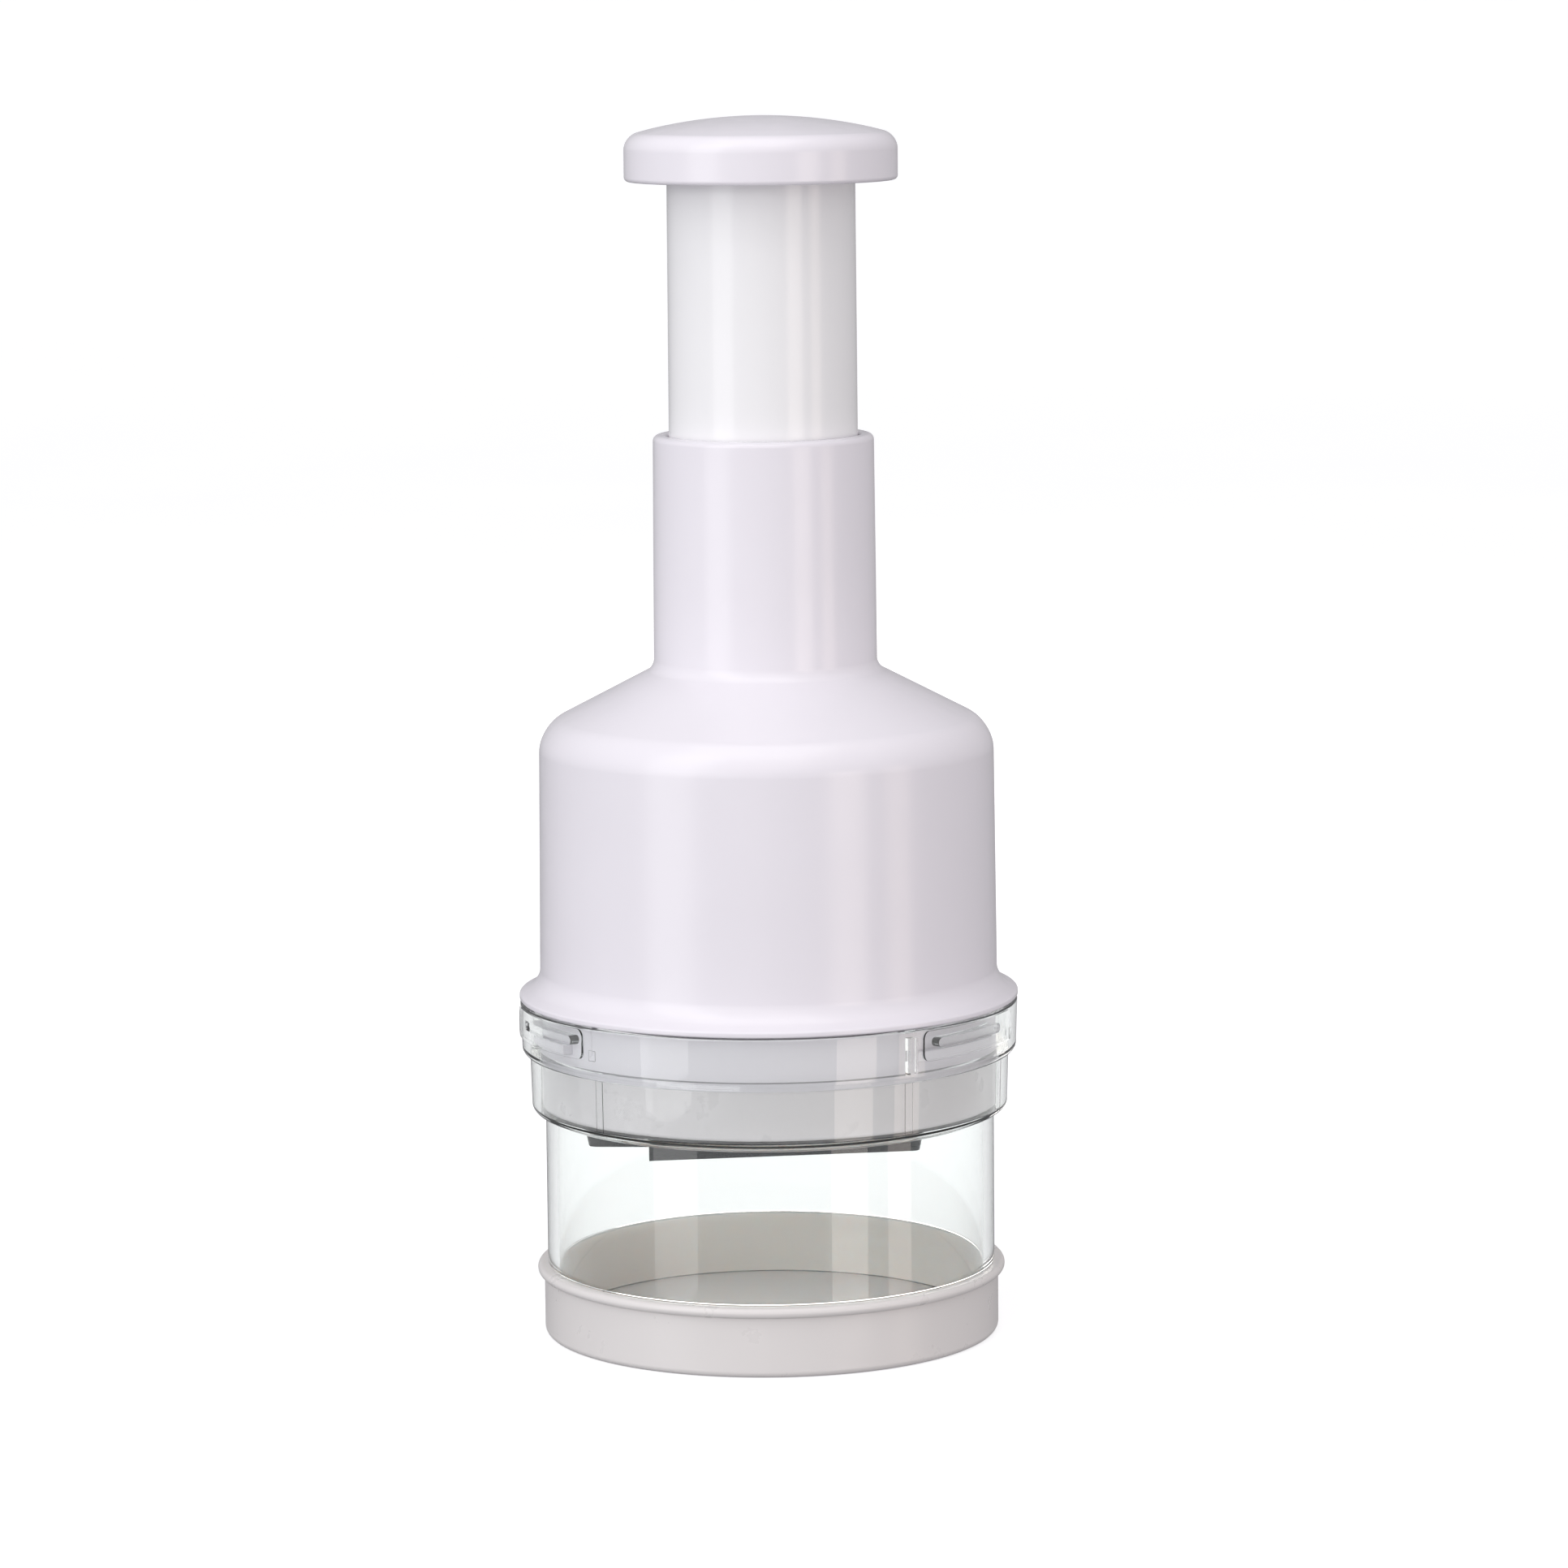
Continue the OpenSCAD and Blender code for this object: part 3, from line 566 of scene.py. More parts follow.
def clear_plastic(name, colour):
    """Clear moulded styrene: sharp reflections, with flow waves that bend what is behind."""
    material, tree, output, place = blank(name)
    waves = noise(tree, place, 14, 1, 0.4, (1, 1, 0.35))
    wipe = noise(tree, place, 6, 3)
    wave = bump(tree, waves, 0.3, 0.02)
    shader = node(
        tree,
        "ShaderNodeBsdfPrincipled",
        {"Base Color": shade(colour), "IOR": 1.57, "Transmission Weight": 1.0},
        {
            "Roughness": between(tree, wipe, 0.01, 0.035),
            "Normal": wave,
        },
    )
    # Light from the lamps goes straight through, as it does in a thin clear wall
    through = node(tree, "ShaderNodeBsdfTransparent", {"Color": from_hex("#FDFEFE")})
    lamp_rays = node(tree, "ShaderNodeLightPath").outputs["Is Shadow Ray"]
    mix = node(tree, "ShaderNodeMixShader", links={0: lamp_rays})
    tree.links.new(shader.outputs[0], mix.inputs[1])
    tree.links.new(through.outputs[0], mix.inputs[2])
    tree.links.new(mix.outputs[0], output.inputs["Surface"])
    # A long way inside the wall, as at the sides, takes a little light and leaves green
    depth = node(
        tree, "ShaderNodeVolumeAbsorption", {"Color": from_hex("#E4E7E6"), "Density": 60.0}
    )
    tree.links.new(depth.outputs[0], output.inputs["Volume"])
    return material


def worked_metal(name, light, dark, rough, grain_mm, stretch, depth_mm, ground_reflection=None):
    """Bare or plated metal with the streaks that its working leaves along one direction.

    dark is the share of the colour that its stains keep, and the last argument holds a
    painted reflection: the near-black colour of a ground band, for the dark that the band
    mirrors, with the height up to which it reaches.
    """
    material, tree, output, place = blank(name)
    streaks = noise(tree, place, grain_mm, 3, 0.6, stretch)
    stains = noise(tree, place, 9, 3)
    colour = blend_colours(tree, stains, shade(light, dark), shade(light))
    if ground_reflection:
        # Painted reflection: the ground band is painted near black for the dark below it that it
        # mirrors, and ends in a soft line
        band, top_mm = ground_reflection
        soft_mm = 0.3
        # The stains run across the painted near-black reflection of the band
        edge = blend_colours(tree, stains, shade(band, 0.35), shade(band))
        above = node(
            tree,
            "ShaderNodeMapRange",
            {"From Min": (top_mm - soft_mm) * MM, "From Max": (top_mm + soft_mm) * MM},
            {"Value": node(tree, "ShaderNodeSeparateXYZ", links={0: place}).outputs["Z"]},
        )
        colour = blend_colours(tree, above.outputs["Result"], edge, colour)
    shader = node(
        tree,
        "ShaderNodeBsdfPrincipled",
        {"Metallic": 1.0},
        {
            "Base Color": colour,
            "Roughness": between(tree, streaks, rough * 0.75, rough * 1.3),
            "Normal": bump(tree, streaks, 0.5, depth_mm),
        },
    )
    tree.links.new(shader.outputs[0], output.inputs["Surface"])
    return material


MADE = {}


def finish_named(key):
    """The material of one finish, made the first time that a piece asks for it."""
    if key in MADE:
        return MADE[key]
    f = bpy.context.scene.chopper_finishes
    makers = {
        # Mould polished to a gloss: soft wide highlights with crisp edges on a bright body
        "housing": lambda: moulded_plastic("ABS_moulded_polished_white", f.housing, 0.2),
        # The skirt is left satin where the collar hides it; its greyer colour is painted shade,
        # for the light that the clear collar takes
        "skirt": lambda: moulded_plastic("ABS_moulded_satin_skirt_painted_shade", f.skirt, 0.36),
        # The same plastic in another batch, a little lighter and less lilac than the bell
        "tube": lambda: moulded_plastic("ABS_moulded_polished_tube", f.tube, 0.17),
        # Painted shade: a shade darker than the bell, for the light that the clear collar takes
        "guard": lambda: moulded_plastic("ABS_moulded_satin_guard_painted_shade", f.guard, 0.3),
        # A fine spark-eroded mould skin that scatters the highlight
        "base": lambda: moulded_plastic("ABS_moulded_satin_base", f.base, 0.3, grain_mm=0.0015),
        # Seen from inside, light comes warm through the thin wall by subsurface scattering; the
        # lighter, warmer colour than the outside of the cap is painted light
        "base_inside_painted_light": lambda: moulded_plastic(
            "ABS_moulded_satin_inside_painted_light", f.base_inside_painted_light, 0.36, glow_mm=3.0
        ),
        # Clear styrene with a breath of green at its edges, where the light runs in the wall
        "cup": lambda: clear_plastic("SAN_moulded_clear", f.cup),
        # Acetal looks waxy: a soft sheen and a warm white
        "acetal": lambda: moulded_plastic("acetal_moulded_natural", f.acetal, 0.38, ior=1.48),
        # Nylon is yellower and duller than acetal
        "bush": lambda: moulded_plastic("nylon_moulded_natural", f.bush, 0.45, ior=1.53),
        # Zinc with a blue passivation: a cool grey with cloudy stains
        "zinc": lambda: worked_metal(
            "steel_zinc_plated", f.zinc, 0.8, 0.34, 0.5, (1, 1, 1), 0.004
        ),
        # Drawing leaves fine lines along the wire
        "spring": lambda: worked_metal(
            "spring_wire_drawn", f.spring, 0.75, 0.3, 0.4, (1, 1, 3), 0.004
        ),
        # Rolled stainless strip with streaks along it. The band along its edge is ground
        # smooth; its near-black look from the front is a painted reflection in its colour
        "blade": lambda: worked_metal(
            "stainless_strip_rolled_painted_edge_reflection",
            f.blade,
            0.72,
            0.24,
            0.6,
            (0.25, 0.25, 4),
            0.006,
            (f.blade_edge_painted_reflection, DARK_REFLECTION_TOP_MM),
        ),
    }
    MADE[key] = makers[key]()
    return MADE[key]


class CHOPPER_OT_base_cap(bpy.types.Operator):
    """Models the white cap that closes the foot of the cup"""

    bl_idname = "chopper.base_cap"
    bl_label = "Base cap"

    def execute(self, context):
        m = measures()
        foot_in_r = m.base_r - 3.4
        bead_r, bead_z, bead_round = m.base_r + 1.2, m.base_h - 1.85, 0.9
        piece = turn(
            "base_cap_shell",
            [
                [0, m.foot_h, 0],
                [foot_in_r, m.foot_h, 0],
                [foot_in_r + m.foot_h, 0, 0],
                [m.base_r, 0, 1.2],
                [m.base_r, bead_z, 0],
                [bead_r, bead_z, bead_round],
                [bead_r, m.base_h, bead_round],
                [m.base_in_r, m.base_h, 0.4],
                [m.base_in_r, m.floor_z, 0],
                [0, m.floor_z, 0],
            ],
            closed=False,
        )
        finish(piece, finish_named("base"), "base", "base_cap")
        # The faces above the floor and inside the wall, which take the lighter inside colour:
        # painted light
        low, out = (m.floor_z - 0.1) * MM, (m.base_in_r + 0.05) * MM
        inside = finish_named("base_inside_painted_light")
        refinish(piece, inside, lambda c: c.z > low and c.xy.length < out)
        return {"FINISHED"}


class CHOPPER_OT_clear_cup(bpy.types.Operator):
    """Models the clear cup with its two-tier collar, ledges, ribs and raised pads"""

    bl_idname = "chopper.clear_cup"
    bl_label = "Clear cup"

    def execute(self, context):
        m = measures()
        step_z, shelf_z = m.base_h + 0.3, m.high_z + m.web
        shell = turn(
            "clear_cup_shell",
            [
                [m.cup_in_r, m.floor_z, 0],
                [m.spigot_r, m.floor_z, 0.4],
                [m.spigot_r, step_z, 0],
                [m.cup_r, step_z, 0],
                [m.cup_r, m.low_z, 0],
                [m.low_r, m.low_z + 1.1, 1.2],
                [m.low_r + m.draft, m.high_z, 0],
                [m.high_r, m.high_z, 1.2],
                [m.high_r + m.draft, m.rim_z, 0.4],
                [m.high_in_r, m.rim_z, 0],
                [m.high_in_r, shelf_z, 0],
                [m.low_in_r, shelf_z, 0],
                [m.low_in_r, m.ledge_z, 0],
                [m.cup_in_r, m.ledge_z, 0.4],
            ],
        )
        fittings = self.bars(m) + self.pads(m) + self.ribs(m)
        piece = combine(shell, joined(fittings, "fittings"))
        finish(piece, finish_named("cup"), "cup", "clear_cup")
        return {"FINISHED"}

    def bars(self, m):
        """Ledges that the lugs turn under, with half-round ends."""
        low_r, top_z = m.skirt_r + m.seat_gap, m.bar_z + m.bar_h
        out_r = m.high_in_r + m.root
        piece = turn_arc(
            "bar",
            [[low_r, m.bar_z, 0], [out_r, m.bar_z, 0], [out_r, top_z, 0], [low_r, top_z, 0]],
            -BAR_ARC,
            2 * BAR_ARC,
        )
        half = m.bar_h / 2
        for side in (-1, 1):
            end = math.radians(side * BAR_ARC)
            along = Vector((-math.sin(end), math.cos(end), 0)) * side
            pick(piece, lambda f: f.normal.dot(along) > 0.99, "FACE")
            extrude(along * half * MM)
            out = Vector((math.cos(end), math.sin(end), 0))
            pick(
                piece,
                lambda e: abs((e.verts[1].co - e.verts[0].co).normalized().dot(out)) > 0.99
                and min((v.co - out * m.high_in_r * MM).dot(along) for v in e.verts)
                > (half - 0.05) * MM,
                "EDGE",
            )
            # Just under half the height, so that the two rounds don't meet
            bpy.ops.mesh.bevel(offset=(half - 0.01) * MM, segments=6, affect="EDGES")
        bpy.ops.object.mode_set(mode="OBJECT")
        return copies_at(piece, STATIONS)

    def pads(self, m):
        """Raised pads on the outside of the collar, in front of the ledges."""
        thick, half_h, long, corner_round = 0.35, 2.7, 28.6, 1.4
        out_r = m.high_r + m.draft + thick
        in_r = m.high_r - m.collar_wall / 2
        mid_z = m.bar_z + m.bar_h / 2
        arc = math.degrees(long / out_r)
        piece = turn_arc(
            "pad",
            [
                [in_r, mid_z - half_h, 0],
                [out_r, mid_z - half_h, 0],
                [out_r, mid_z + half_h, 0],
                [in_r, mid_z + half_h, 0],
            ],
            -arc / 2,
            arc,
        )
        for side in (-1, 1):
            end = math.radians(side * arc / 2)
            out = Vector((math.cos(end), math.sin(end), 0))
            along = Vector((-out.y, out.x, 0)) * side
            pick(
                piece,
                lambda e: abs((e.verts[1].co - e.verts[0].co).normalized().dot(out)) > 0.99
                and abs(e.verts[0].co.dot(along)) < 0.01 * MM,
                "EDGE",
            )
            bpy.ops.mesh.bevel(offset=corner_round * MM, segments=6, affect="EDGES")
        bpy.ops.object.mode_set(mode="OBJECT")
        return copies_at(piece, STATIONS)

    def ribs(self, m):
        """Stop ribs and detents of the upper tier, and centring ribs of the lower tier."""
        half = m.rib_half
        before = [a - STOP_ARC for a in STATIONS]
        after = [a + STOP_ARC for a in STATIONS]
        stop = block(
            "stop",
            (m.skirt_r + m.seat_gap, -half, m.high_z + m.web / 2),
            (m.high_in_r + m.root, half, m.rim_z - m.web),
            0.2,
        )
        detent = block(
            "detent",
            (m.high_in_r - 0.15, -half, m.lug_z),
            (m.high_in_r + m.root, half, m.lug_z + m.lug_h),
            0.1,
        )
        centring = block(
            "centring",
            (m.low_in_r - m.seat_gap, -half, m.ledge_z - m.root),
            (m.low_in_r + m.root, half, m.guard_top_z - 0.6),
            0.1,
        )
        return (
            copies_at(stop, before)
            + copies_at(detent, after)
            + copies_at(centring, [a for pair in zip(before, after) for a in pair])
        )


class CHOPPER_OT_bell_housing(bpy.types.Operator):
    """Models the bell with its neck, flange, skirt, lugs, guide webs and screw bosses"""

    bl_idname = "chopper.bell_housing"
    bl_label = "Bell housing"

    def roof_z(self, m, r):
        """Height of the underside of the shoulder at a radius."""
        drop = m.wall / math.cos(math.atan(m.slope))
        return m.corner_z + (m.bell_top_r - r) * m.slope - drop

    def execute(self, context):
        m = measures()
        neck_z = m.corner_z + (m.bell_top_r - m.neck_r) * m.slope
        bell_in_r = m.bell_top_r - m.wall
        shell = turn(
            "bell_housing_shell",
            [
                [m.skirt_in_r, m.skirt_z, 0],
                [m.skirt_r, m.skirt_z, 0.45],
                [m.skirt_r, m.flange_z, 0],
                [m.flange_r, m.flange_z, 0.4],
                [m.flange_r, m.flange_z + 1, 0.4],
                [m.bell_r, m.flange_z + 3, 4],
                [m.bell_top_r, m.corner_z, m.shoulder_r],
                [m.neck_r, neck_z, 2.5],
                [m.neck_r - 0.3, m.neck_top_z, m.neck_edge_r],
                [m.lip_in_r, m.neck_top_z, m.neck_edge_r / 2],
                [m.lip_in_r, m.lip_z, 0],
                [m.neck_in_r, m.neck_top_z - 3.2, 0],
                [m.neck_in_r, self.roof_z(m, m.neck_in_r), 0],
                [bell_in_r, self.roof_z(m, bell_in_r), m.shoulder_r - m.wall],
            ],
            steps=12,
        )
        lug = turn_arc(
            "lug",
            [
                [m.skirt_r - 1, m.lug_z, 0],
                [m.lug_out_r, m.lug_z, 0.3],
                [m.lug_out_r, m.lug_z + m.lug_h, 0.3],
                [m.skirt_r - 1, m.lug_z + m.lug_h, 0],
            ],
            LUG_START,
            LUG_ARC,
        )
        bpy.ops.object.mode_set(mode="OBJECT")
        fittings = copies_at(lug, STATIONS) + self.webs(m) + self.bosses(m)
        piece = combine(shell, joined(fittings, "fittings"))
        finish(piece, finish_named("housing"), "housing", "bell_housing")
        # The outer faces below the flange, which take the darker skirt colour: painted shade
        high, within = (m.flange_z + 0.1) * MM, (m.skirt_r - 0.6) * MM
        skirt = finish_named("skirt")
        refinish(piece, skirt, lambda c: c.z < high and c.xy.length > within)
        return {"FINISHED"}

    def webs(self, m):
        """Four webs that guide the foot of the plunger."""
        foot_r, wall_r = m.neck_in_r + 8, m.neck_in_r + 1.05
        foot_z = m.plate_top_z + 0.3
        corners = [
            (m.lip_in_r, foot_z),
            (foot_r, foot_z),
            (foot_r, self.roof_z(m, foot_r) + m.wall / 2),
            (wall_r, self.roof_z(m, wall_r) + m.wall / 2),
            (wall_r, m.lip_z),
            (m.lip_in_r, m.lip_z),
        ]
        piece = draw_outline("web", [[r, z, 0] for r, z in corners], True)
        bpy.ops.mesh.select_all(action="SELECT")
        bpy.ops.transform.translate(value=(0, -m.rib_half * MM, 0))
        bpy.ops.mesh.edge_face_add()
        extrude((0, 2 * m.rib_half * MM, 0))
        close(piece)
        return copies_at(piece, WEBS)

    def bosses(self, m):
        """Three screw bosses that hang from the roof, each with its pilot hole."""
        at, boss_r, boss_wall, hole_depth = m.skirt_in_r - 9.1, 3.6, 2.05, 9
        top_z = self.roof_z(m, at) + m.wall / 2
        piece = add(
            "cylinder",
            "boss",
            vertices=48,
            radius=boss_r * MM,
            depth=(top_z - m.plate_top_z) * MM,
            location=(at * MM, 0, (top_z + m.plate_top_z) / 2 * MM),
        )
        pick(piece, lambda f: f.normal.z < -0.9, "FACE")
        bpy.ops.mesh.inset(thickness=boss_wall * MM)
        extrude((0, 0, hole_depth * MM))
        # The top of the boss follows the slope of the roof
        pick(piece, lambda v: v.co.z > (top_z - 0.1) * MM)
        mesh = bmesh.from_edit_mesh(piece.data)
        for v in mesh.verts:
            if v.select:
                v.co.z = (self.roof_z(m, v.co.x / MM) + m.wall / 2) * MM
        bmesh.update_edit_mesh(piece.data)
        close(piece)
        return copies_at(piece, BOSSES)


class CHOPPER_OT_blade_guard(bpy.types.Operator):
    """Models the white ring round the blade"""

    bl_idname = "chopper.blade_guard"
    bl_label = "Blade guard"

    def execute(self, context):
        m = measures()
        # How far out the blade's folds stand, and half of its strip
        reach, half_strip = m.cup_in_r - 4.3, 0.45
        lip_r, in_r = reach + 0.9 + half_strip, reach + 2.35 + half_strip
        out_r, top_z = m.skirt_r - m.seat_gap, m.guard_top_z - m.seat_gap
        spigot_r, spigot_z = m.skirt_in_r - m.press_gap, m.guard_top_z + 6.4
        # The groove that the stripper plate turns in
        plate_t, groove_r, seat_z = 1.65, in_r + 0.6, m.guard_z + 1.2
        groove_z = seat_z + m.snug_gap + plate_t + m.snug_gap
        piece = turn(
            "blade_guard_ring",
            [
                [lip_r, m.guard_z, 0.2],
                [out_r, m.guard_z, 0.8],
                [out_r, top_z, 0.8],
                [spigot_r, top_z, 0],
                [spigot_r, spigot_z, 0.4],
                [in_r, spigot_z, 0.4],
                [in_r, groove_z, 0],
                [groove_r, groove_z, 0],
                [groove_r, seat_z, 0],
                [lip_r, seat_z, 0.2],
            ],
        )
        finish(piece, finish_named("guard"), "housing", "blade_guard")
        return {"FINISHED"}


class CHOPPER_OT_press_knob(bpy.types.Operator):
    """Models the domed knob with its socket for the tube"""

    bl_idname = "chopper.press_knob"
    bl_label = "Press knob"

    def execute(self, context):
        m = measures()

        def dome_z(r):
            return m.top_z - m.dome_r + math.sqrt(m.dome_r**2 - r**2)

        def under(r, rounding=0):
            return [r, dome_z(r) - m.knob_wall, rounding]

        # Points along the dome, up to the round of its edge
        points = 16
        radii = [i / points * m.knob_r for i in range(points)]
        socket_r = m.tube_r - 0.2 + m.press_gap
        socket_out_r, socket_z = socket_r + 1.7, m.knob_z + 0.6
        hollow_r = m.knob_r - m.knob_wall
        piece = turn(
            "press_knob_shell",
            [[r, dome_z(r), 0] for r in radii if r < m.knob_r - m.knob_edge_r]
            + [
                [m.knob_r, dome_z(m.knob_r), m.knob_edge_r],
                [m.knob_r, m.knob_z, 0.8],
                [hollow_r, m.knob_z, 0.3],
                under(hollow_r, 1.5),
                under(socket_out_r),
                [socket_out_r, socket_z, 0.3],
                [socket_r, socket_z, 0.3],
                under(socket_r),
                under(socket_r / 2),
                under(0),
            ],
            closed=False,
            steps=10,
        )
        finish(piece, finish_named("housing"), "plunger", "press_knob")
        return {"FINISHED"}


class CHOPPER_OT_plunger_tube(bpy.types.Operator):
    """Models the tube between the neck and the knob, with its notched foot and inner web"""

    bl_idname = "chopper.plunger_tube"
    bl_label = "Plunger tube"

    def execute(self, context):
        m = measures()
        in_r, top_r, top_z = m.tube_r - 1.8, m.tube_r - 0.2, m.knob_z + 6
        foot_r, foot_z = m.neck_in_r - 0.15, m.plunger_z + 3.5
        web_top, boss_z = m.knob_z - 2, m.web_z - 4
        rod_hole_r, boss_r, notch_half = 3.06, 6.5, 1.1
        tube = turn(
            "plunger_tube_shell",
            [
                [in_r, m.plunger_z, 0],
                [foot_r, m.plunger_z, 0.4],
                [foot_r, foot_z, 0.4],
                [m.tube_r, foot_z, 0],
                [top_r, top_z, 0.4],
                [in_r, top_z, 0.4],
                [in_r, web_top, 0],
                [rod_hole_r, web_top, 0],
                [rod_hole_r, boss_z, 0],
                [boss_r, boss_z, 0.4],
                [boss_r, m.web_z, 0],
                [in_r, m.web_z, 0],
            ],
        )
        # The foot's notches run along the guide webs of the bell
        notch = block(
            "notch",
            (m.tube_r + m.press_gap, -notch_half, m.plunger_z - 1),
            (m.tube_r + 1.75, notch_half, foot_z + 1),
        )
        notches = joined(copies_at(notch, WEBS), "notches")
        piece = combine(tube, notches, "DIFFERENCE")
        finish(piece, finish_named("tube"), "plunger", "plunger_tube")
        return {"FINISHED"}


class CHOPPER_OT_return_spring(bpy.types.Operator):
    """Winds the return spring as it stands before the knob is pressed"""

    bl_idname = "chopper.return_spring"
    bl_label = "Return spring"

    def execute(self, context):
        m = measures()
        turns, steps, coil_r = 12, 32, 11.5
        foot_z = m.plate_top_z + m.wire_r + m.press_gap
        rise = m.web_z - m.wire_r - m.press_gap - foot_z
        # The first and the last turn rise slowly, to lie flat on what they press on
        slow = 2 * m.wire_r + 0.5
        pitch = (rise - 2 * slow) / (turns - 2)

        def height(u):
            if u < 1:
                return slow * u
            if u < turns - 1:
                return slow + pitch * (u - 1)
            return rise - slow * (turns - u)

        begin()
        bpy.ops.curve.primitive_nurbs_path_add()
        piece = bpy.context.object
        piece.name = piece.data.name = "return_spring_coil"
        wire = piece.data
        wire.splines.clear()
        line = wire.splines.new("POLY")
        line.points.add(turns * steps)
        for i, point in enumerate(line.points):
            angle, z = FULL_TURN * i / steps, foot_z + height(i / steps)
            x, y = coil_r * math.cos(angle), coil_r * math.sin(angle)
            point.co = (x * MM, y * MM, z * MM, 1)
        wire.bevel_depth = m.wire_r * MM
        wire.bevel_resolution = 3
        wire.use_fill_caps = True
        bpy.ops.object.convert(target="MESH")
        bpy.ops.object.mode_set(mode="EDIT")
        close(piece)
        finish(piece, finish_named("spring"), "housing", "return_spring")
        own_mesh(piece)
        return {"FINISHED"}


class CHOPPER_OT_blade_set(bpy.types.Operator):
    """Finishes the folded blade, its carrier, the stripper plate and the rivets"""

    bl_idname = "chopper.blade_set"
    bl_label = "Blade set"

    def execute(self, context):
        for cad, name, key, body, slot in (
            ("zigzag_blade", "zigzag_blade_strip", "blade", "rotor", "blade_steel"),
            ("blade_carrier", "blade_carrier_disc", "acetal", "rotor", "acetal"),
            # The stripper plate takes the guard's colour, painted shade darker than the bell
            ("stripper_plate", "stripper_plate_disc", "guard", "stripper", "white_housing"),
            ("carrier_rivets", "carrier_rivet_set", "zinc", "rotor", "zinc_steel"),
        ):
            finish(taken_from(cad, name), finish_named(key), body, cad)
        return {"FINISHED"}


class CHOPPER_OT_drive(bpy.types.Operator):
    """Finishes the rod, index gear, guide plate, bush, washer, pins and screws"""

    bl_idname = "chopper.drive"
    bl_label = "Drive and index gear"

    def execute(self, context):
        for cad, name, key, body, slot in (
            ("drive_rod", "drive_rod_steel", "zinc", "rotor", "zinc_steel"),
            ("thrust_washer", "thrust_washer_steel", "zinc", "rotor", "zinc_steel"),
            ("rod_top_screw", "rod_top_screw_steel", "zinc", "rotor", "zinc_steel"),
            ("index_rotor", "index_rotor_teeth", "acetal", "rotor", "acetal"),
            ("hub_pin", "hub_pin_steel", "zinc", "rotor", "zinc_steel"),
            ("index_crown", "index_crown_teeth", "acetal", "housing", "acetal"),
            ("guide_plate", "guide_plate_disc", "acetal", "housing", "acetal"),
            ("rod_bush", "rod_bush_sleeve", "bush", "housing", "bush_plastic"),
            ("plate_screws", "plate_screw_set", "zinc", "housing", "zinc_steel"),
        ):
            finish(taken_from(cad, name), finish_named(key), body, cad)
        return {"FINISHED"}


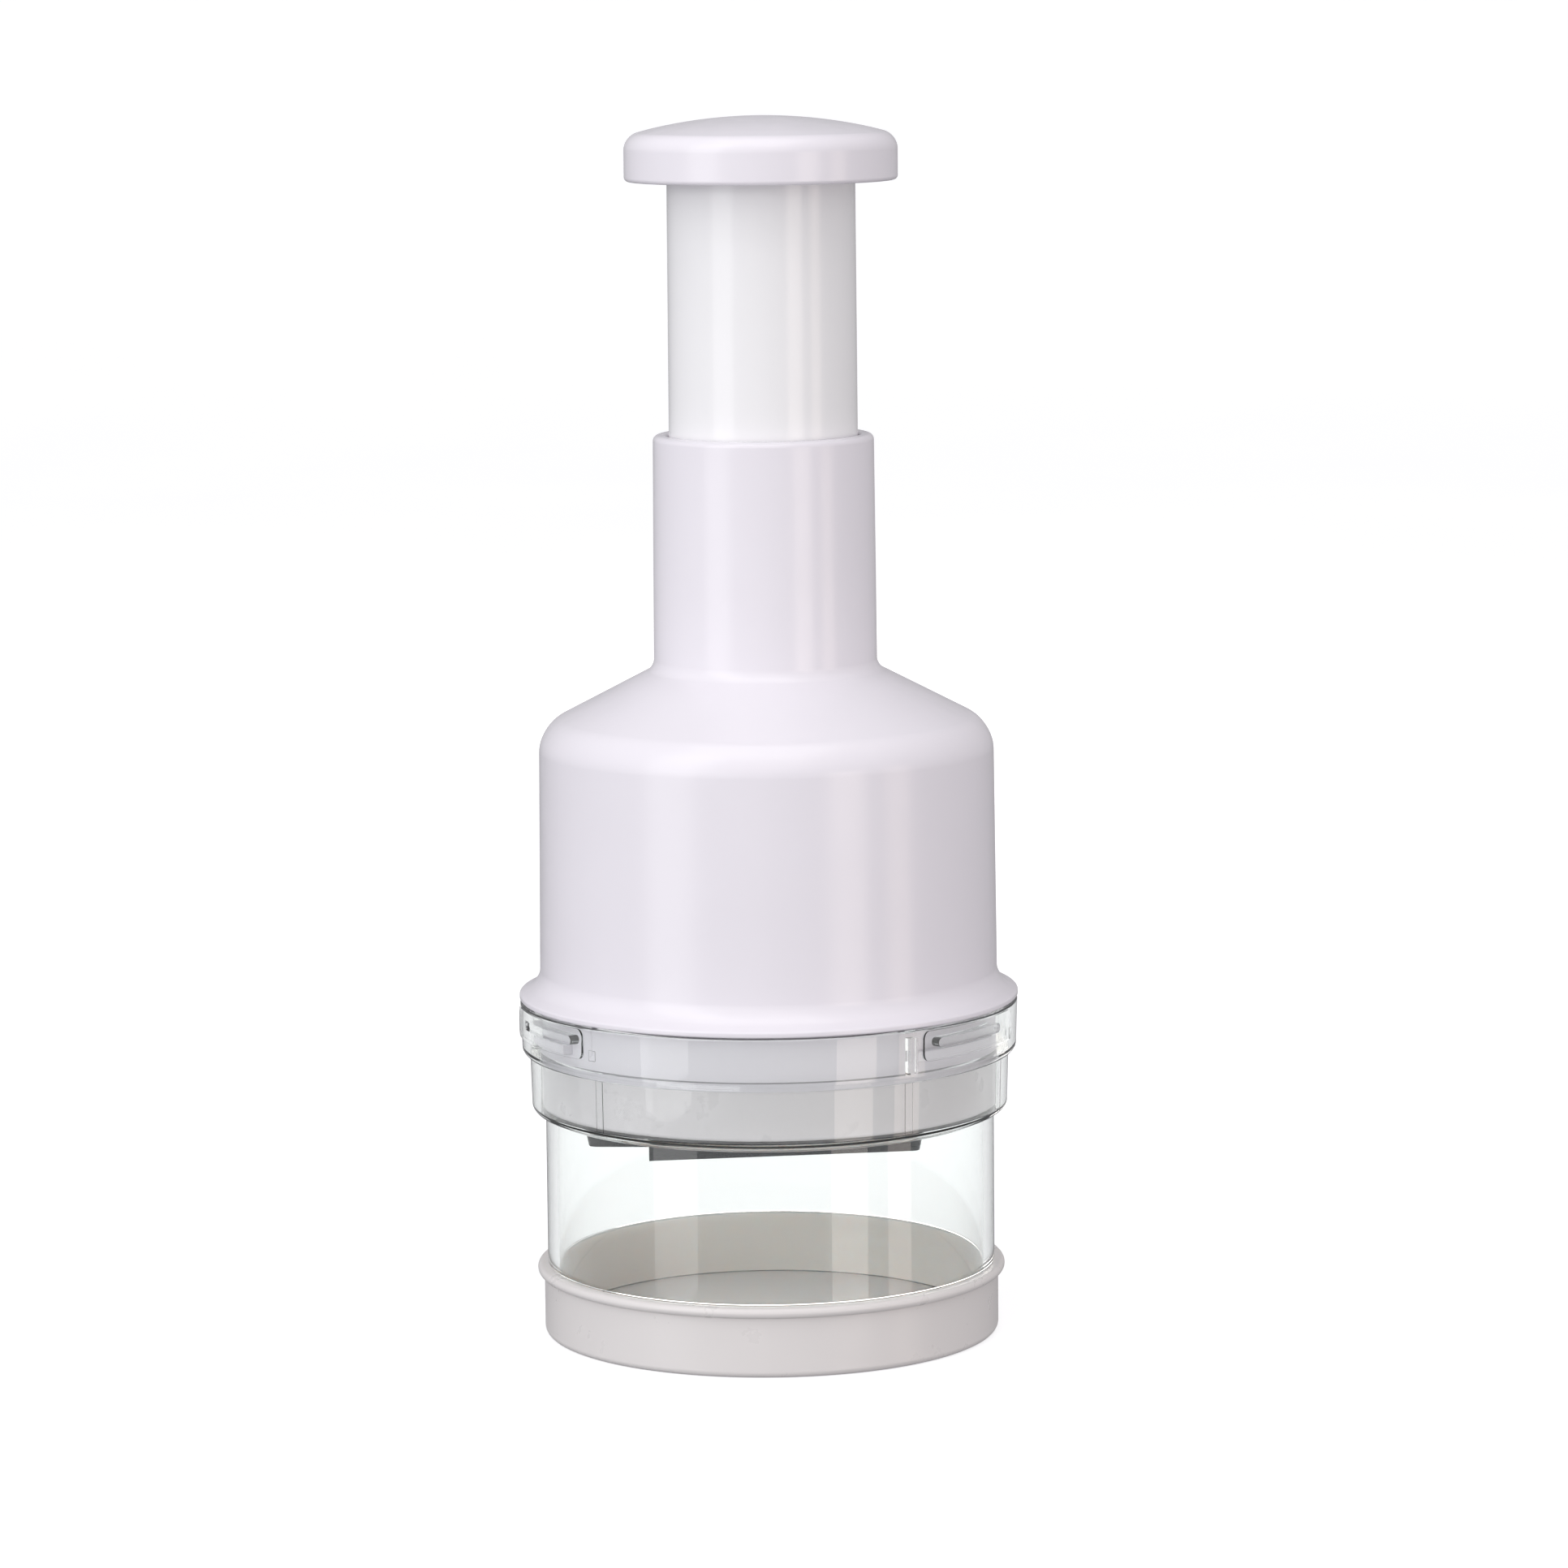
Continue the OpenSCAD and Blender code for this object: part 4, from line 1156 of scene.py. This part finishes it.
class CHOPPER_OT_stage(bpy.types.Operator):
    """Sets the floor, the backdrop, the lights and the camera"""

    bl_idname = "chopper.stage"
    bl_label = "Stage"

    def execute(self, context):
        studio = context.scene.chopper_studio
        self.floor()
        self.lights(context, studio)
        self.camera(context, studio)
        return {"FINISHED"}

    def floor(self):
        """A pale floor that runs up into a backdrop through a wide cove."""
        size_m, wall_m, cove_m = 6, 4, 1.2
        piece = add("plane", "floor_sweep", size=size_m)
        back = size_m / 2 - 0.1
        pick(piece, lambda e: all(v.co.y > back for v in e.verts), "EDGE")
        extrude((0, 0, wall_m))
        pick(piece, lambda e: all(v.co.y > back and v.co.z < 0.1 for v in e.verts), "EDGE")
        bpy.ops.mesh.bevel(offset=cove_m, segments=16, affect="EDGES")
        bpy.ops.object.mode_set(mode="OBJECT")
        bpy.ops.object.shade_smooth()
        material, tree, output, place = blank("paper_sweep_white")
        clouds = noise(tree, place, 180, 2)
        paper = blend_colours(tree, clouds, from_hex("#C4C4C6"), from_hex("#CACACC"))
        # Its own light lifts it to plain white, as in the photograph
        shader = node(
            tree,
            "ShaderNodeBsdfPrincipled",
            {
                "Roughness": 0.9,
                "Emission Color": [1, 1, 1, 1],
                "Emission Strength": 0.63,
            },
            {"Base Color": paper},
        )
        tree.links.new(shader.outputs[0], output.inputs["Surface"])
        piece.data.materials.append(material)
        # The gloss of the plastic mirrors the room and its softboxes, not the paper
        piece.visible_glossy = False
        piece.visible_diffuse = False

    def lights(self, context, studio):
        """The white room, softboxes at both sides and above, and low fills for the base."""
        world = bpy.data.worlds.new("white_room")
        context.scene.world = world
        world.use_nodes = True
        tree = world.node_tree
        background = tree.nodes["Background"]
        # The room is brighter above than below, and brighter in front than behind
        way = node(tree, "ShaderNodeTexCoord").outputs["Generated"]
        parts = node(tree, "ShaderNodeSeparateXYZ", links={"Vector": way}).outputs
        share = node(
            tree,
            "ShaderNodeMapRange",
            {"From Min": -0.5, "From Max": 0.0},
            {"Value": parts["Z"]},
        )
        colour = blend_colours(
            tree, share.outputs["Result"], from_hex("#B8B8BC"), from_hex("#FBFBFE")
        )
        behind = node(
            tree,
            "ShaderNodeVectorMath",
            {1: (-0.15, 0.99, 0)},
            {0: way},
            operation="DOT_PRODUCT",
        )
        depth = node(
            tree,
            "ShaderNodeMapRange",
            {
                "From Min": 0.1,
                "From Max": 0.9,
                "To Min": studio.ambient,
                "To Max": 0.55 * studio.ambient,
            },
            {"Value": behind.outputs["Value"]},
        )
        tree.links.new(depth.outputs["Result"], background.inputs["Strength"])
        tree.links.new(colour, background.inputs["Color"])
        aim = Vector((0, 0, 110)) * MM
        # Degrees round from the front and up, millimetres away, wide and tall, then watts
        for name, azimuth, lift, away, wide, tall, watts, code in (
            ("left_softbox", -49, 20, 1000, 500, 1500, 3.45, "#FFFFFF"),
            ("left_fill", -35, 14, 1200, 900, 320, 2.3, "#FFFFFF"),
            ("back_fill", 165, 14, 1200, 900, 320, 2.7, "#FFF6F0"),
            ("right_softbox", 40, -5, 1000, 330, 650, 1.35, "#FFF2EA"),
            ("right_edge_softbox", 68, -5, 1000, 240, 650, 0.85, "#FFEEE4"),
            ("top_softbox", -10, 74, 1100, 900, 900, 2.6, "#FFFDFB"),
        ):
            begin()
            a, e = math.radians(azimuth), math.radians(lift)
            way = Vector(
                (math.sin(a) * math.cos(e), -math.cos(a) * math.cos(e), math.sin(e))
            )
            bpy.ops.object.light_add(type="AREA", location=aim + way * away * MM)
            lamp = context.object
            lamp.name = lamp.data.name = name
            lamp.rotation_euler = (-way).to_track_quat("-Z", "Y").to_euler()
            lamp.data.shape = "RECTANGLE"
            lamp.data.size = wide * MM
            lamp.data.size_y = tall * MM
            lamp.data.energy = watts
            lamp.data.color = from_hex(code)[:3]
            lamp.visible_camera = False
            # The fills are too soft to show as a shape in the gloss
            lamp.visible_glossy = "fill" not in name

    def camera(self, context, studio):
        """The photograph's view: a long lens a little above the object, turned very slightly."""
        # Degrees that the camera turns to the right, looks down and rolls
        right, down, roll = 0.165, 8.0, 0.54
        begin()
        bpy.ops.object.camera_add()
        camera = context.object
        camera.name = camera.data.name = "camera"
        camera.data.lens = studio.lens
        camera.data.sensor_width = 36
        camera.matrix_world = (
            Matrix.Translation((0, -studio.distance, studio.height))
            @ Matrix.Rotation(math.radians(-right), 4, "Z")
            @ Matrix.Rotation(math.radians(90 - down), 4, "X")
            @ Matrix.Rotation(math.radians(-roll), 4, "Z")
        )
        context.scene.camera = camera
        context.scene.view_settings.view_transform = "Standard"


PIECES = (
    CHOPPER_OT_base_cap,
    CHOPPER_OT_clear_cup,
    CHOPPER_OT_bell_housing,
    CHOPPER_OT_blade_guard,
    CHOPPER_OT_press_knob,
    CHOPPER_OT_plunger_tube,
    CHOPPER_OT_return_spring,
    CHOPPER_OT_blade_set,
    CHOPPER_OT_drive,
    CHOPPER_OT_stage,
)


class CHOPPER_PT_sidebar(bpy.types.Panel):
    """Lists the chopper's sizes, finishes and pieces"""

    bl_idname = "CHOPPER_PT_sidebar"
    bl_label = "Plunger food chopper"
    bl_space_type = "VIEW_3D"
    bl_region_type = "UI"
    bl_category = "Chopper"

    def draw(self, context):
        scene = context.scene
        for group in (scene.chopper_sizes, scene.chopper_finishes, scene.chopper_studio):
            box = self.layout.box()
            for name in group.__annotations__:
                box.prop(group, name)
        for piece in PIECES:
            self.layout.operator(piece.bl_idname)


GROUPS = (ChopperSizes, ChopperFinishes, ChopperStudio)


def register():
    for cls in (*GROUPS, *PIECES, CHOPPER_PT_sidebar):
        bpy.utils.register_class(cls)
    bpy.types.Scene.chopper_sizes = PointerProperty(type=ChopperSizes)
    bpy.types.Scene.chopper_finishes = PointerProperty(type=ChopperFinishes)
    bpy.types.Scene.chopper_studio = PointerProperty(type=ChopperStudio)


def unregister():
    del bpy.types.Scene.chopper_studio
    del bpy.types.Scene.chopper_finishes
    del bpy.types.Scene.chopper_sizes
    for cls in reversed((*GROUPS, *PIECES, CHOPPER_PT_sidebar)):
        bpy.utils.unregister_class(cls)


def main():
    """Makes every piece and the stage."""
    register()
    for piece in PIECES:
        group, name = piece.bl_idname.split(".")
        getattr(getattr(bpy.ops, group), name)()
    begin()


if __name__ == "__main__":
    main()
